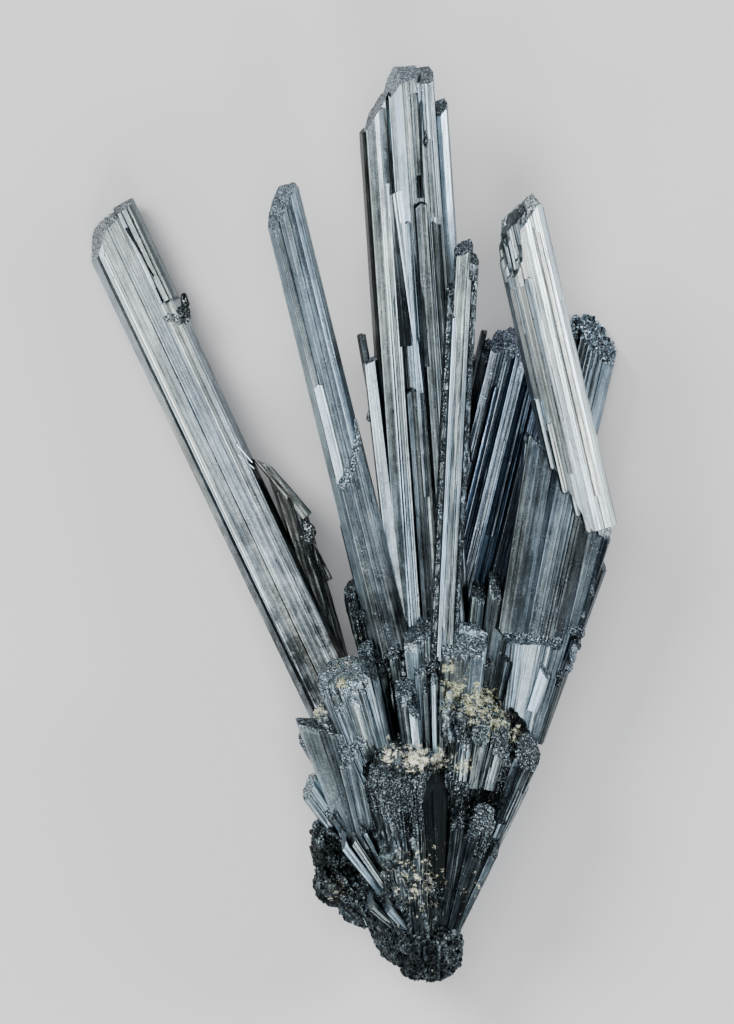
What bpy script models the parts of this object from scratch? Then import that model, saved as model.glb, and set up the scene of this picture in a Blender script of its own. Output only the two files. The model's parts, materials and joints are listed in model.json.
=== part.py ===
"""Stibnite crystal spray, lying on its back as it rests on a shelf. Metres, +Z up.

Striated, lead-grey crystals fan out from one root. X runs across the fan, Y from the point of the
root to the highest tips, and Z up from the surface. Sizes and places below are millimetres from the
point of the root on that surface, MM turns them into metres, and HOME then sets the middle of the
whole spray over the world's origin.
"""

import math
import random
from collections import namedtuple

import bmesh
import bpy
from mathutils import Matrix, Vector

for old in list(bpy.data.objects):
    bpy.data.objects.remove(old)

MM = 0.001
GAP = 0.3  # clearance between neighbouring pieces
ORIGIN_OF_FAN = (3.0, 6.0, 27.0)  # the place that every crystal of the root points away from
HOME = (24.4, -150.0, 0.0)

RIB_PITCH = 2.2  # the coarse striae along a crystal
RIB_HEIGHT = 0.4

# Outlines of a crystal across its length, as (across, forward) in half-widths and half-thicknesses.
ROOF = ((-1, -0.1), (-0.8, 0.6), (-0.6, 0.75), (0, 1), (0.8, 0.6), (1, 0), (0.7, -0.7), (0, -1), (-0.7, -0.7))
BLADE = ((-1, -0.1), (-0.72, 0.72), (0.1, 1), (0.75, 0.7), (1, 0), (0.7, -0.76), (-0.2, -1), (-0.8, -0.64))
SLAB = ((-1, 0.3), (-0.8, 0.9), (0.35, 1), (0.92, 0.62), (1, -0.3), (0.6, -1), (-0.55, -0.95), (-0.95, -0.5))
BLOCK = ((-1, -0.5), (-0.92, 0.7), (-0.35, 1), (0.45, 0.9), (1, 0.55), (0.9, -0.75), (0.2, -1), (-0.75, -0.9))
PENCIL = ((-1, 0), (-0.5, 0.87), (0.5, 0.87), (1, 0), (0.5, -0.87), (-0.5, -0.87))

LEVEL_TOP = ((0, 0.3, 0.95, 1),)

# A crystal's end faces are each a normal, as (across, forward, along), and the drop below its tip
# at which that face crosses its axis. Its taper is the width of its foot over that of its tip.
Crystal = namedtuple(
    "Crystal",
    "foot tip width thickness outline faces taper turn",
    defaults=(BLADE, LEVEL_TOP, 1, 0),
)
Lump = namedtuple("Lump", "centre radii seed detail", defaults=(2,))

FINISH = {  # colour, roughness, metallic
    "bright_stibnite": ((0.56, 0.58, 0.60), 0.32, 1.0),
    "grey_stibnite": ((0.40, 0.43, 0.46), 0.40, 1.0),
    "dark_stibnite": ((0.17, 0.19, 0.22), 0.34, 1.0),
    "root_stibnite": ((0.24, 0.27, 0.29), 0.55, 0.8),
}


def frame_of(crystal):
    """The crystal's own axes as columns: across the fan, forward out of it, and up its length."""
    up = (Vector(crystal.tip) - Vector(crystal.foot)).normalized()
    across = up.cross(Vector((0, 0, 1))).normalized()
    forward = across.cross(up)
    turned = Matrix.Rotation(math.radians(crystal.turn), 3, up)
    return turned @ across, turned @ forward, up


def beside(lead, across, forward, start, end, width, thickness, *more):
    """A crystal grown parallel to `lead`, shifted across and forward of it, from start to end along it."""
    a, f, up = frame_of(lead)
    line = Vector(lead.foot) + a * across + f * forward
    return Crystal(line + up * start, line + up * end, width, thickness, *more)


def ribbed(outline, width, thickness, pitch, height):
    """The outline in millimetres, with a step outwards for every other stria along its longer sides."""
    corners = [Vector((x * width / 2, y * thickness / 2)) for x, y in outline]
    points = []
    for here, after in zip(corners, corners[1:] + corners[:1]):
        side = after - here
        steps = 2 * int(side.length / (2 * pitch)) + 1
        outward = Vector((-side.y, side.x)).normalized()
        points.append(here)
        for step in range(1, steps):
            points.append(here + side * (step / steps) + outward * (height if step % 2 else 0))
    return points


def prism(crystal, grow=0):
    """The crystal as a bmesh. With `grow`, a plain prism that much bigger all round, for a cutter."""
    a, f, up = frame_of(crystal)
    foot = Vector(crystal.foot)
    length = (Vector(crystal.tip) - foot).length
    if grow:
        spare = 2 * (grow + RIB_HEIGHT)
        outline = ribbed(crystal.outline, crystal.width + spare, crystal.thickness + spare, math.inf, 0)
    else:
        outline = ribbed(crystal.outline, crystal.width, crystal.thickness, RIB_PITCH, RIB_HEIGHT)
    over = length + crystal.width + crystal.thickness  # past the tip, for the end faces to cut
    bm = bmesh.new()
    rings = []
    for height in (-grow, over):
        scale = crystal.taper + (1 - crystal.taper) * height / length
        rings.append([bm.verts.new((foot + (a * p.x + f * p.y) * scale + up * height) * MM) for p in outline])
    low, high = rings
    for i in range(len(outline)):
        j = (i + 1) % len(outline)
        bm.faces.new((low[j], low[i], high[i], high[j]))
    bm.faces.new(low)
    bm.faces.new(high[::-1])
    for across, forward, along, drop in crystal.faces:
        normal = (a * across + f * forward + up * along).normalized()
        cut_off(bm, foot + up * (length - drop) + normal * grow, normal)
    bmesh.ops.recalc_face_normals(bm, faces=bm.faces)
    return bm


def cut_off(bm, point, normal):
    """Cleaves the solid at a plane given in millimetres, and closes it with one flat face."""
    everything = bm.verts[:] + bm.edges[:] + bm.faces[:]
    bmesh.ops.bisect_plane(
        bm, geom=everything, dist=1e-7, plane_co=point * MM, plane_no=normal, clear_outer=True
    )
    bmesh.ops.holes_fill(bm, edges=[e for e in bm.edges if e.is_boundary], sides=0)


def boulder(lump, grow=0):
    """A crumbly lump of fine needles and grains, as a faceted stone."""
    chance = random.Random(lump.seed)
    bm = bmesh.new()
    bmesh.ops.create_icosphere(bm, subdivisions=lump.detail, radius=1)
    for v in bm.verts:
        size = [r * chance.uniform(0.86, 1.1) + grow for r in lump.radii]
        v.co = (Vector(lump.centre) + Vector(map(lambda c, s: c * s, v.co, size))) * MM
    bmesh.ops.recalc_face_normals(bm, faces=bm.faces)
    return bm


def solid(name, shape, grow=0):
    bm = boulder(shape, grow) if isinstance(shape, Lump) else prism(shape, grow)
    mesh = bpy.data.meshes.new(name)
    bm.to_mesh(mesh)
    bm.free()
    made = bpy.data.objects.new(name, mesh)
    bpy.context.scene.collection.objects.link(made)
    return made


def is_closed(mesh):
    bm = bmesh.new()
    bm.from_mesh(mesh)
    closed = bool(bm.faces) and all(e.is_manifold for e in bm.edges)
    bm.free()
    return closed


def boolean(target, operation, tools):
    """Joins the tools to the target, or cuts them from it. MANIFOLD redoes what EXACT leaves open."""
    if not tools:
        return
    group = bpy.data.collections.new("tools")
    for tool in tools:
        group.objects.link(tool)
    whole = target.data.copy()
    for solver in ("EXACT", "MANIFOLD"):
        step = target.modifiers.new(operation, "BOOLEAN")
        step.operation = operation
        step.operand_type = "COLLECTION"
        step.collection = group
        step.solver = solver
        bpy.context.view_layer.objects.active = target
        bpy.ops.object.modifier_apply(modifier=step.name)
        if is_closed(target.data):
            break
        target.data = whole.copy()
    bpy.data.collections.remove(group)


def grown_together(name, shapes, grow=0):
    """The shapes as one solid."""
    first, *others = [solid(name, shape, grow) for shape in shapes]
    boolean(first, "UNION", others)
    for other in others:
        bpy.data.objects.remove(other)
    return first


def keep_main_body(target):
    """Drops the splinters that a cut left loose, and keeps the largest body."""
    bm = bmesh.new()
    bm.from_mesh(target.data)
    left = set(bm.verts)
    bodies = []
    while left:
        body = {left.pop()}
        edge = list(body)
        while edge:
            near = {e.other_vert(v) for v in edge for e in v.link_edges} - body
            body |= near
            edge = list(near)
        left -= body
        bodies.append(body)
    bodies.sort(key=len)
    bmesh.ops.delete(bm, geom=[v for body in bodies[:-1] for v in body], context="VERTS")
    bm.to_mesh(target.data)
    bm.free()


def flatten_underside(target):
    """Cleaves what would reach below the surface that the spray lies on."""
    bm = bmesh.new()
    bm.from_mesh(target.data)
    if min(v.co.z for v in bm.verts) < 0:
        cut_off(bm, Vector((0, 0, 0)), Vector((0, 0, -1)))
    bm.to_mesh(target.data)
    bm.free()


def finish(name):
    made = bpy.data.materials.get(name)
    if made is None:
        made = bpy.data.materials.new(name)
        made.use_nodes = True
        shader = made.node_tree.nodes["Principled BSDF"]
        colour, roughness, metallic = FINISH[name]
        shader.inputs["Base Color"].default_value = (*colour, 1)
        shader.inputs["Roughness"].default_value = roughness
        shader.inputs["Metallic"].default_value = metallic
    return made


def piece(name, shapes, material, clearances=(), hollows=()):
    """One named solid: its shapes grown together, hollowed, and cut clear of its neighbours."""
    made = grown_together(name, shapes)
    cutters = [solid("hollow", hollow) for hollow in hollows]
    boolean(made, "DIFFERENCE", cutters)
    for cutter in cutters:
        bpy.data.objects.remove(cutter)
    for clearance in clearances:
        boolean(made, "DIFFERENCE", [clearance])
    flatten_underside(made)
    keep_main_body(made)
    made.data.materials.clear()
    made.data.materials.append(finish(material))
    made.data.transform(Matrix.Translation(Vector(HOME) * MM))


def clearance_of(shapes):
    """A cutter for a piece's neighbours: the piece's shapes, GAP bigger all round."""
    cutter = grown_together("clearance", shapes, GAP)
    cutter.hide_render = True
    cutter.display_type = "WIRE"
    return cutter


def out_of_root(tip, width, thickness, start=0.12, **more):
    """A crystal that radiates from the origin of the fan and widens towards its tip."""
    way = Vector(tip) - Vector(ORIGIN_OF_FAN)
    return Crystal(Vector(ORIGIN_OF_FAN) + way * start, Vector(tip), width, thickness, **more)


# --- Root: stubs and crumbly lumps grown into one cone. --------------------------------------------
ETCHED_TOP = ((0, 0.55, 0.83, 2),)
STEEP_TOP = ((0.1, 0.7, 0.71, 5),)
LEFT_TOP = ((-0.35, 0.5, 0.8, 2),)
RIGHT_TOP = ((0.4, 0.5, 0.77, 2),)
POINTED = ((-0.6, 0.3, 0.74, 0), (0.5, 0.3, 0.81, 0))
BACK_TOP = ((0.1, -0.5, 0.85, 2),)

ROOT = [
    Lump((-6, 38, 27), (18, 31, 21), 3),
    Lump((0, 13.4, 27), (12.5, 12.5, 14), 5),
    Lump((8, 62, 27), (21, 20, 22), 17),
    Lump((-15, 70, 28), (19, 19, 20), 19),
    Lump((-31, 47, 31), (8, 9, 10), 11),
    Lump((-31, 35, 30), (6.5, 9, 8), 13, 1),
    Lump((-22, 27, 31), (8, 7, 9), 23, 1),
    Lump((-1, 104, 36), (22, 10, 12), 29),
    # the blunt column in the middle of the front, with a dark spear of crystal on it
    out_of_root((-6, 78, 46), 27, 22, outline=BLOCK, faces=((0, 0.65, 0.76, 4),), taper=0.45),
    out_of_root((-17, 70, 43), 13, 16, outline=BLOCK, faces=LEFT_TOP, taper=0.45, turn=-25),
    out_of_root((1.2, 69, 58), 7, 8, outline=ROOF, faces=POINTED, taper=0.5),
    out_of_root((7.5, 71, 53), 8, 11, outline=BLOCK, faces=ETCHED_TOP, taper=0.4),
    # left of it, down the left edge
    out_of_root((-27.5, 105, 45), 23, 17, outline=BLOCK, faces=((-0.1, 0.6, 0.8, 4),), taper=0.4),
    out_of_root((-18, 101, 50), 5.5, 8, faces=RIGHT_TOP, taper=0.6),
    out_of_root((-36, 89, 40), 15, 14, faces=LEFT_TOP, taper=0.4, turn=-20),
    out_of_root((-31, 84, 46), 7, 8, outline=ROOF, faces=LEFT_TOP, taper=0.5, turn=-15),
    out_of_root((-42, 83, 36), 5, 8, faces=LEFT_TOP, taper=0.5),
    out_of_root((-40, 66, 34), 9, 9, outline=BLOCK, faces=LEFT_TOP, taper=0.5),
    out_of_root((-34, 60, 42), 6, 6, faces=LEFT_TOP, taper=0.5),
    out_of_root((-27.5, 47, 45), 6.5, 6, outline=SLAB, faces=POINTED, taper=0.7, turn=-20),
    out_of_root((-20, 51, 48), 4, 5, outline=PENCIL, faces=POINTED, taper=0.7),
    out_of_root((-19, 34, 46), 7, 7, outline=SLAB, faces=LEFT_TOP, taper=0.6, turn=-20),
    # above it, between the feet of the blades
    out_of_root((-6, 102, 52), 12.5, 11, outline=BLOCK, faces=ETCHED_TOP, taper=0.4),
    out_of_root((-4, 120, 45), 11, 10, outline=BLOCK, faces=ETCHED_TOP, taper=0.5),
    out_of_root((-9, 111, 49), 7, 8, faces=LEFT_TOP, taper=0.5),
    out_of_root((1.3, 99, 55), 2.6, 5, outline=PENCIL, taper=0.7),
    out_of_root((4.4, 99, 55.5), 3.2, 6, outline=PENCIL, taper=0.7),
    out_of_root((10.4, 117, 53), 16.5, 13, outline=BLOCK, faces=ETCHED_TOP, taper=0.4),
    out_of_root((-26, 132, 36), 6, 8, faces=LEFT_TOP, taper=0.5),
    out_of_root((-22.5, 124, 38), 6, 7, faces=POINTED, taper=0.5),
    out_of_root((15.3, 130.5, 41), 5, 6, faces=RIGHT_TOP, taper=0.6),
    out_of_root((21, 132, 41.5), 5.5, 7, faces=POINTED, taper=0.6),
    # right of it, down the right edge
    out_of_root((13.5, 98, 54), 16, 13, outline=BLOCK, faces=STEEP_TOP, taper=0.4),
    out_of_root((26, 85, 47), 21, 15, outline=BLOCK, faces=((0.15, 0.65, 0.74, 3),), taper=0.35),
    out_of_root((34.5, 78, 39), 7, 12, faces=RIGHT_TOP, taper=0.5),
    out_of_root((17.5, 62, 54), 10, 9, outline=BLOCK, faces=ETCHED_TOP, taper=0.5),
    out_of_root((17.5, 50, 50), 10, 10, outline=ROOF, faces=RIGHT_TOP, taper=0.6),
    out_of_root((10, 53, 53), 5, 6, outline=PENCIL, faces=POINTED, taper=0.7),
    out_of_root((26, 64, 44), 6, 10, faces=RIGHT_TOP, taper=0.5),
    out_of_root((30, 66, 35), 5, 10, faces=RIGHT_TOP, taper=0.5),
    out_of_root((22, 40, 38), 6, 9, faces=RIGHT_TOP, taper=0.6),
    # the back of the root, down to the surface
    out_of_root((-24, 92, 17), 15, 12, outline=BLOCK, faces=BACK_TOP, taper=0.5),
    out_of_root((-9, 112, 16), 13, 11, outline=SLAB, faces=BACK_TOP, taper=0.5),
    out_of_root((5, 126, 18), 12, 10, outline=BLOCK, faces=BACK_TOP, taper=0.5),
    out_of_root((18, 102, 15), 14, 12, outline=SLAB, faces=BACK_TOP, taper=0.5),
    out_of_root((29, 84, 22), 13, 13, outline=BLOCK, faces=BACK_TOP, taper=0.5),
    out_of_root((-14, 76, 2.6), 17, 15, outline=BLOCK, faces=BACK_TOP, taper=0.5),
    out_of_root((14, 72, 2.6), 17, 15, outline=BLOCK, faces=BACK_TOP, taper=0.5),
    out_of_root((1, 60, 0.5), 11, 9, outline=SLAB, faces=BACK_TOP, taper=0.6),
    out_of_root((-28, 62, 18), 11, 10, faces=BACK_TOP, taper=0.5),
]

# --- Left blade: one broad flat crystal, leaning back, with a later slip of crystal on its front
# and a splinter that flares out on its right.
left_lead = Crystal(
    (-29.3, 88.4, 31),
    (-108.7, 256.4, 5.3),
    21.5,
    13,
    ROOF,
    ((-0.775, 0.3, 0.6, 6.2), (-0.06, 0.5, 0.86, 8)),
    0.86,
)
LEFT_BLADE = [
    left_lead,
    beside(left_lead, 5.6, 2.6, 145, 187, 8.6, 9, SLAB, ((-0.1, 0.5, 0.87, 8),)),
    beside(left_lead, -5.6, 2.4, 4, 172, 4, 7, PENCIL, ((-0.77, 0.38, 0.5, 0),), 0.9),
    Crystal((-29.5, 97, 27), (-50.5, 168, 17), 10, 8, SLAB, ((0.8, 0.1, 0.6, 1.5),), 0.7),
    Crystal((-29.5, 97, 28), (-44.5, 158, 20), 12, 7, ROOF, ((0.5, 0.1, 0.86, 2),), 0.5),
]
LEFT_HOLLOWS = [
    Crystal((-81.5, 215.5, 17.5), (-79, 220.5, 20.5), 8, 5, BLOCK),
    Crystal((-85, 221, 17.6), (-99, 249, 14.8), 1.1, 2.2, PENCIL),
]

# --- Slender blade, with a shorter crystal grown along its lower front.
slender_lead = Crystal(
    (-9.1, 96.5, 38),
    (-49.4, 260.2, 47),
    12.9,
    9,
    BLADE,
    ((-0.75, 0.25, 0.61, 6.5), (0.7, 0.2, 0.68, -4.4)),
)
SLENDER_BLADE = [
    slender_lead,
    beside(slender_lead, 1.1, 3, 0, 84.4, 11.4, 6, SLAB, ((-0.68, 0.3, 0.67, 5.7),)),
    beside(slender_lead, -3.4, -1.6, 0, 61, 7, 6, BLADE, ((-0.6, 0.3, 0.74, 2),)),
]

# --- Tall bundle: the longest crystals, side by side, with slips down their left edge.
tall_lead = Crystal(
    (3.8, 99.8, 34),
    (-9.8, 299.2, 42),
    13,
    16,
    ROOF,
    ((-0.78, 0.25, 0.57, 2.8), (0, 0.55, 0.83, 4.6)),
    0.9,
)
TALL_BUNDLE = [
    tall_lead,
    Crystal((0, 197, 44), (-11.7, 295, 48), 8, 8, SLAB, ((-0.78, 0.25, 0.57, 4), (0, 0.55, 0.83, 3.5)), 0.35),
    beside(tall_lead, -8.9, 1.5, 0, 187, 8, 12, BLADE, ((-0.45, 0.3, 0.84, 2),)),
    beside(tall_lead, -12.9, 0, 70, 180, 3.6, 8, PENCIL, ((-0.5, 0.2, 0.84, 0),)),
    beside(tall_lead, 7.6, -1, 1, 199.3, 6, 13, SLAB, ((0.2, 0.4, 0.89, 3),)),
    beside(tall_lead, 11.8, -1.5, 70, 186.5, 5.6, 8, BLADE, ((-0.4, 0.3, 0.87, 1),)),
    beside(tall_lead, 3.6, 5.6, 2, 128, 4, 6, ROOF, ((-0.2, 0.5, 0.84, 1),), 0.8),
    Crystal((-8.1, 109.5, 38), (-19.2, 204.8, 39), 5.5, 8, SLAB, ((-0.3, 0.2, 0.93, 1),)),
    Crystal((-16.3, 177.8, 37), (-22.4, 211.9, 37), 3, 4, PENCIL, ((0, 0.3, 0.95, 0),)),
]
TALL_HOLLOWS = [Crystal((-1.2, 251, 47), (1.6, 257.5, 49.5), 4, 4, BLOCK)]

# --- Centre bundle: three narrow crystals in front of the tall ones, worn at their tips.
centre_lead = Crystal((4.2, 106.3, 51), (10.7, 240.6, 56), 6, 8, BLADE, ((-0.4, 0.4, 0.82, 1),), 0.75)
CENTRE_BUNDLE = [
    centre_lead,
    beside(centre_lead, 2.8, -0.5, 1, 131.6, 4.6, 7, SLAB, ((0.5, 0.4, 0.77, 1),), 0.7),
    beside(centre_lead, -3.2, -0.8, 0.5, 122, 4.2, 6, PENCIL, ((-0.5, 0.4, 0.77, 1),), 0.7),
    beside(centre_lead, -1.6, 1.6, 1.5, 113, 3, 5, PENCIL, ((-0.5, 0.4, 0.77, 1),), 0.7),
    beside(centre_lead, 2.4, 1.4, 1.2, 125.5, 2.2, 4, PENCIL, ((0.5, 0.4, 0.77, 1),), 0.7),
]

# --- Dark bundle: thin crystals behind, leaning right, that keep their mirror-black sides.
dark_lead = Crystal((2.6, 109.5, 30), (27, 210.9, 28), 6.5, 13, BLADE, ((0.3, 0.4, 0.87, 1),))
DARK_BUNDLE = [
    dark_lead,
    beside(dark_lead, -3.9, 0.5, 0.4, 103.6, 5.4, 12, SLAB, ((-0.3, 0.4, 0.87, 1),)),
    beside(dark_lead, -7, 0, 0.8, 99.6, 4.6, 12, BLADE, ((0.3, 0.4, 0.87, 1),)),
    beside(dark_lead, -9.6, 0.5, 20, 105.3, 2.2, 4, PENCIL),
    beside(dark_lead, -11.5, 0, 18, 96, 2.6, 6, PENCIL, ((-0.3, 0.4, 0.87, 1),)),
    beside(dark_lead, 4.8, -0.5, 1.2, 102, 6.2, 13, SLAB, ((0.4, 0.3, 0.87, 1),)),
    beside(dark_lead, 9, -1.5, 10, 99, 5.4, 12, BLADE, ((0.4, 0.3, 0.87, 1),)),
    beside(dark_lead, 1, 6, 3, 93, 2, 3, PENCIL, ((0.3, 0.4, 0.87, 1),)),
]

# --- Right bundle: the broadest crystals, narrow at the root, with a later layer on their front
# and a crumbly crust down their right edge.
RIGHT_BUNDLE = [
    Crystal((29.3, 81.9, 34), (46.2, 166, 36), 14, 18, ROOF, ((0.6, 0.3, 0.74, 2),), 0.55),
    Crystal((25.4, 88.4, 34), (36.1, 177.8, 35), 11, 16, BLADE, ((0.5, 0.3, 0.81, 2),), 0.6),
    Crystal((33.5, 79.6, 32), (54.2, 152, 34), 13, 18, SLAB, ((0.5, 0.3, 0.81, 2),), 0.5),
    Crystal((35.1, 79.6, 26), (55.2, 141, 26), 8.5, 14, BLADE, ((0.5, 0.2, 0.84, 2),), 0.5),
    Crystal((27, 111.2, 41), (37.4, 174.5, 43), 10, 6, SLAB, ((0.6, 0.3, 0.74, 1),), 0.85),
    Crystal((36.8, 109.5, 41.5), (48.1, 163, 43.5), 12, 7, ROOF, ((0.6, 0.3, 0.74, 1),), 0.8),
    Crystal((44.5, 112.5, 39), (55, 151, 41), 7, 8, SLAB, ((0.6, 0.3, 0.74, 1),), 0.7),
    Crystal((33, 90, 43.6), (37.5, 104, 44.2), 4.5, 4, SLAB, ((0.6, 0.3, 0.74, 1),), 0.9),
    Lump((54.5, 149.5, 41), (4, 6, 5), 31, 1),
    Lump((55, 131, 29), (3.2, 7, 5), 37, 1),
    Lump((51, 117, 29), (3, 7, 5), 41, 1),
]

# --- Back bundle: two crystals behind the right side, leaning down to the surface.
back_lead = Crystal((29.3, 109.5, 22), (54, 213.5, 5.6), 10.5, 12, BLADE, ((0.4, 0.55, 0.73, 2.5),))
BACK_BUNDLE = [
    back_lead,
    beside(back_lead, 6.2, -0.5, 0.6, 103, 5.6, 10, SLAB, ((0.4, 0.5, 0.77, 0.5),)),
    beside(back_lead, -6, 0, 0.3, 108.6, 5, 10, PENCIL, ((0.2, 0.55, 0.81, 1),)),
]

# --- Leaning blade: a stout crystal broken from its seat and grown fast across the right bundle.
# Its tip is broken back on the left, and its foot is a row of pointed fingers.
leaning_lead = Crystal(
    (49.7, 156.6, 44),
    (26, 257.4, 59),
    17.7,
    13,
    ROOF,
    ((-0.38, 0.25, 0.92, 4.5), (0.83, 0.1, 0.55, -6.5), (-0.96, 0.1, 0.28, -5.3), (-0.95, 0, -0.3, 110)),
    1.04,
)
LEANING_BLADE = [
    leaning_lead,
    Crystal((47.5, 168, 45), (48.4, 156.5, 43.4), 4, 6, PENCIL, POINTED),
    Crystal((53, 163, 45.5), (54.8, 153.8, 43.6), 4.5, 6, SLAB, POINTED),
    Crystal((50.5, 166, 47), (51.2, 155, 45.4), 3.6, 5, PENCIL, POINTED),
    beside(leaning_lead, -1.2, 5.4, 12, 78, 3.6, 4, ROOF, POINTED),
    beside(leaning_lead, 4.4, 4.2, 3, 92, 3, 4, ROOF, ((0.8, 0.1, 0.58, 0),)),
]
LEANING_HOLLOWS = [
    Crystal((24, 238, 62), (22.2, 252.5, 62.5), 9, 8, BLOCK),
    Crystal((29.5, 246, 66), (26.5, 255, 64), 4, 5, SLAB),
]

# --- The pieces, each cut clear of those that it stands against. -----------------------------------
root, tall, centre, dark, right, back = map(
    clearance_of, (ROOT, TALL_BUNDLE, CENTRE_BUNDLE, DARK_BUNDLE, RIGHT_BUNDLE, BACK_BUNDLE)
)
piece("root_cluster", ROOT, "root_stibnite")
piece("tall_bundle", TALL_BUNDLE, "bright_stibnite", [root], TALL_HOLLOWS)
piece("centre_bundle", CENTRE_BUNDLE, "bright_stibnite", [root, tall])
piece("slender_blade", SLENDER_BLADE, "grey_stibnite", [root, tall])
piece("left_blade", LEFT_BLADE, "bright_stibnite", [root], LEFT_HOLLOWS)
piece("dark_bundle", DARK_BUNDLE, "dark_stibnite", [root, tall, centre])
piece("right_bundle", RIGHT_BUNDLE, "grey_stibnite", [root, dark])
piece("back_bundle", BACK_BUNDLE, "grey_stibnite", [root, dark, right])
piece("leaning_blade", LEANING_BLADE, "bright_stibnite", [right, dark, back], LEANING_HOLLOWS)
for cutter in (root, tall, centre, dark, right, back):
    bpy.data.objects.remove(cutter)
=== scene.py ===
"""A stibnite crystal spray, laid on its back on a pale floor and looked at from straight above.

Metallic lead-grey crystals fan out from one root. Lengths are millimetres from the point of the
root, as in the solids. PLACE moves them around the world's origin, and MM turns them into metres.
"""

import json
import math
from collections import namedtuple

import bmesh
import bpy
import numpy as np
from mathutils import Matrix, Vector, noise

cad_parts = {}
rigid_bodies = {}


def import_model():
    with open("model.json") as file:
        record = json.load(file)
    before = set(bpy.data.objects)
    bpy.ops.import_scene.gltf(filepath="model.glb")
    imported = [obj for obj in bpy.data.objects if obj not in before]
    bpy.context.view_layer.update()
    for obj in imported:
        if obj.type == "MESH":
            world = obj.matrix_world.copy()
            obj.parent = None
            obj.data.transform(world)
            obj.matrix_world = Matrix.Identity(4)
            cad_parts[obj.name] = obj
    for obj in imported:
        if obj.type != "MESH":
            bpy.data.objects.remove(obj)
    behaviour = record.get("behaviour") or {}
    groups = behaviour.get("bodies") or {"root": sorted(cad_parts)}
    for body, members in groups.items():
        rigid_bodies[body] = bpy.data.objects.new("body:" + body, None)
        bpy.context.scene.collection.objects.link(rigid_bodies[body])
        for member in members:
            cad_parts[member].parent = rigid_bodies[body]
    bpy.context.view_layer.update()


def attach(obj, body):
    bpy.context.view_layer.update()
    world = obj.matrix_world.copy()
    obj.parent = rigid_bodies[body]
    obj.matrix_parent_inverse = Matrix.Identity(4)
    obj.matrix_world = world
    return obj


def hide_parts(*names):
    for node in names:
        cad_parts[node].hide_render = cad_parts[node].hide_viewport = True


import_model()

# --- Left blade ---
# One broad flat crystal of metallic stibnite that leans back out of the root, with a later slip grown
# on its upper right and a splinter that flares out on its right. Each crystal is a block ruled into
# columns, one for each stria of its sides, and drawn out along its length to a rough etched end.
MM = 0.001
PLACE = Vector((24.4, -150.0, 0.0))
LOWEST = 0.05  # the lowest corners of a crystal stay this far above the floor
LOWEST_GRAIN = 0.1  # and those of a lump, a needle or a grain this far

# outlines of a crystal across its length, from the left edge over the front to the back
ROOF = ((-1, -0.1), (-0.8, 0.6), (-0.6, 0.75), (0, 1), (0.8, 0.6), (1, 0), (0.7, -0.7), (0, -1), (-0.7, -0.7))
BLADE = ((-1, -0.1), (-0.72, 0.72), (0.1, 1), (0.75, 0.7), (1, 0), (0.7, -0.76), (-0.2, -1), (-0.8, -0.64))
SLAB = ((-1, 0.3), (-0.8, 0.9), (0.35, 1), (0.92, 0.62), (1, -0.3), (0.6, -1), (-0.55, -0.95), (-0.95, -0.5))
BLOCK = ((-1, -0.5), (-0.92, 0.7), (-0.35, 1), (0.45, 0.9), (1, 0.55), (0.9, -0.75), (0.2, -1), (-0.75, -0.9))
PENCIL = ((-1, 0), (-0.5, 0.87), (0.5, 0.87), (1, 0), (0.5, -0.87), (-0.5, -0.87))
LEVEL_TOP = ((0, 0.3, 0.95, 1),)
POINTED_UP = ((-0.6, 0.3, 0.74, 0), (0.5, 0.3, 0.81, 0))

# A crystal's width and thickness are those at its tip. `tones` says how bright each side of the outline
# is painted, from 0, mirror black, to 1, silver: partly the side's own lustre and partly painted light
# and shade for the way the side faces the lamps. `worn` says which sides are granular. `ends` are the end
# faces: the way each one looks (across, forward, up) and how far in from the tip or the foot it starts.
# `taper` is how wide the foot is against the tip, and `turn` the crystal's twist in degrees. `pitch` is
# the width of a stria and `course` the length of a face along the crystal; `striae`, `etch` and
# `crumble` are how deep its lines, its end's grains and its bumps are. `hollows` are broken out of the
# tip: a place on it, its reach and its depth. `frost` is how far the grains of the end reach down the
# sides, and `dull` how dull the foot is.
Crystal = namedtuple(
    "Crystal",
    "foot tip width thickness outline tones ends taper turn worn pitch striae etch crumble course hollows "
    "frost dull",
    defaults=(BLADE, (), LEVEL_TOP, 1, 0, (), 0.45, 0.12, 0.3, 0, 6, (), 0, 0),
)


def read(items, key, width=1, kind=float):
    """One value of each vertex, corner or face as an array, or `width` values as its rows."""
    values = np.empty(len(items) * width, kind)
    items.foreach_get(key, values)
    return values.reshape(-1, width) if width > 1 else values


def frame_of(crystal):
    """The crystal's own axes: across the fan, forward out of it, and up its length."""
    up = (Vector(crystal.tip) - Vector(crystal.foot)).normalized()
    across = up.cross(Vector((0, 0, 1))).normalized()
    forward = across.cross(up)
    turned = Matrix.Rotation(math.radians(crystal.turn), 3, up)
    return turned @ across, turned @ forward, up


def beside(lead, across, forward, start, end, *shape, **more):
    """A crystal grown parallel to `lead`, shifted across and forward of it, from start to end along it.
    `shape` is its width and what follows that in a Crystal."""
    a, f, up = frame_of(lead)
    line = Vector(lead.foot) + a * across + f * forward
    more["turn"] = lead.turn + more.pop("turn_by", 0)
    return Crystal(line + up * start, line + up * end, *shape, **more)


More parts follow.
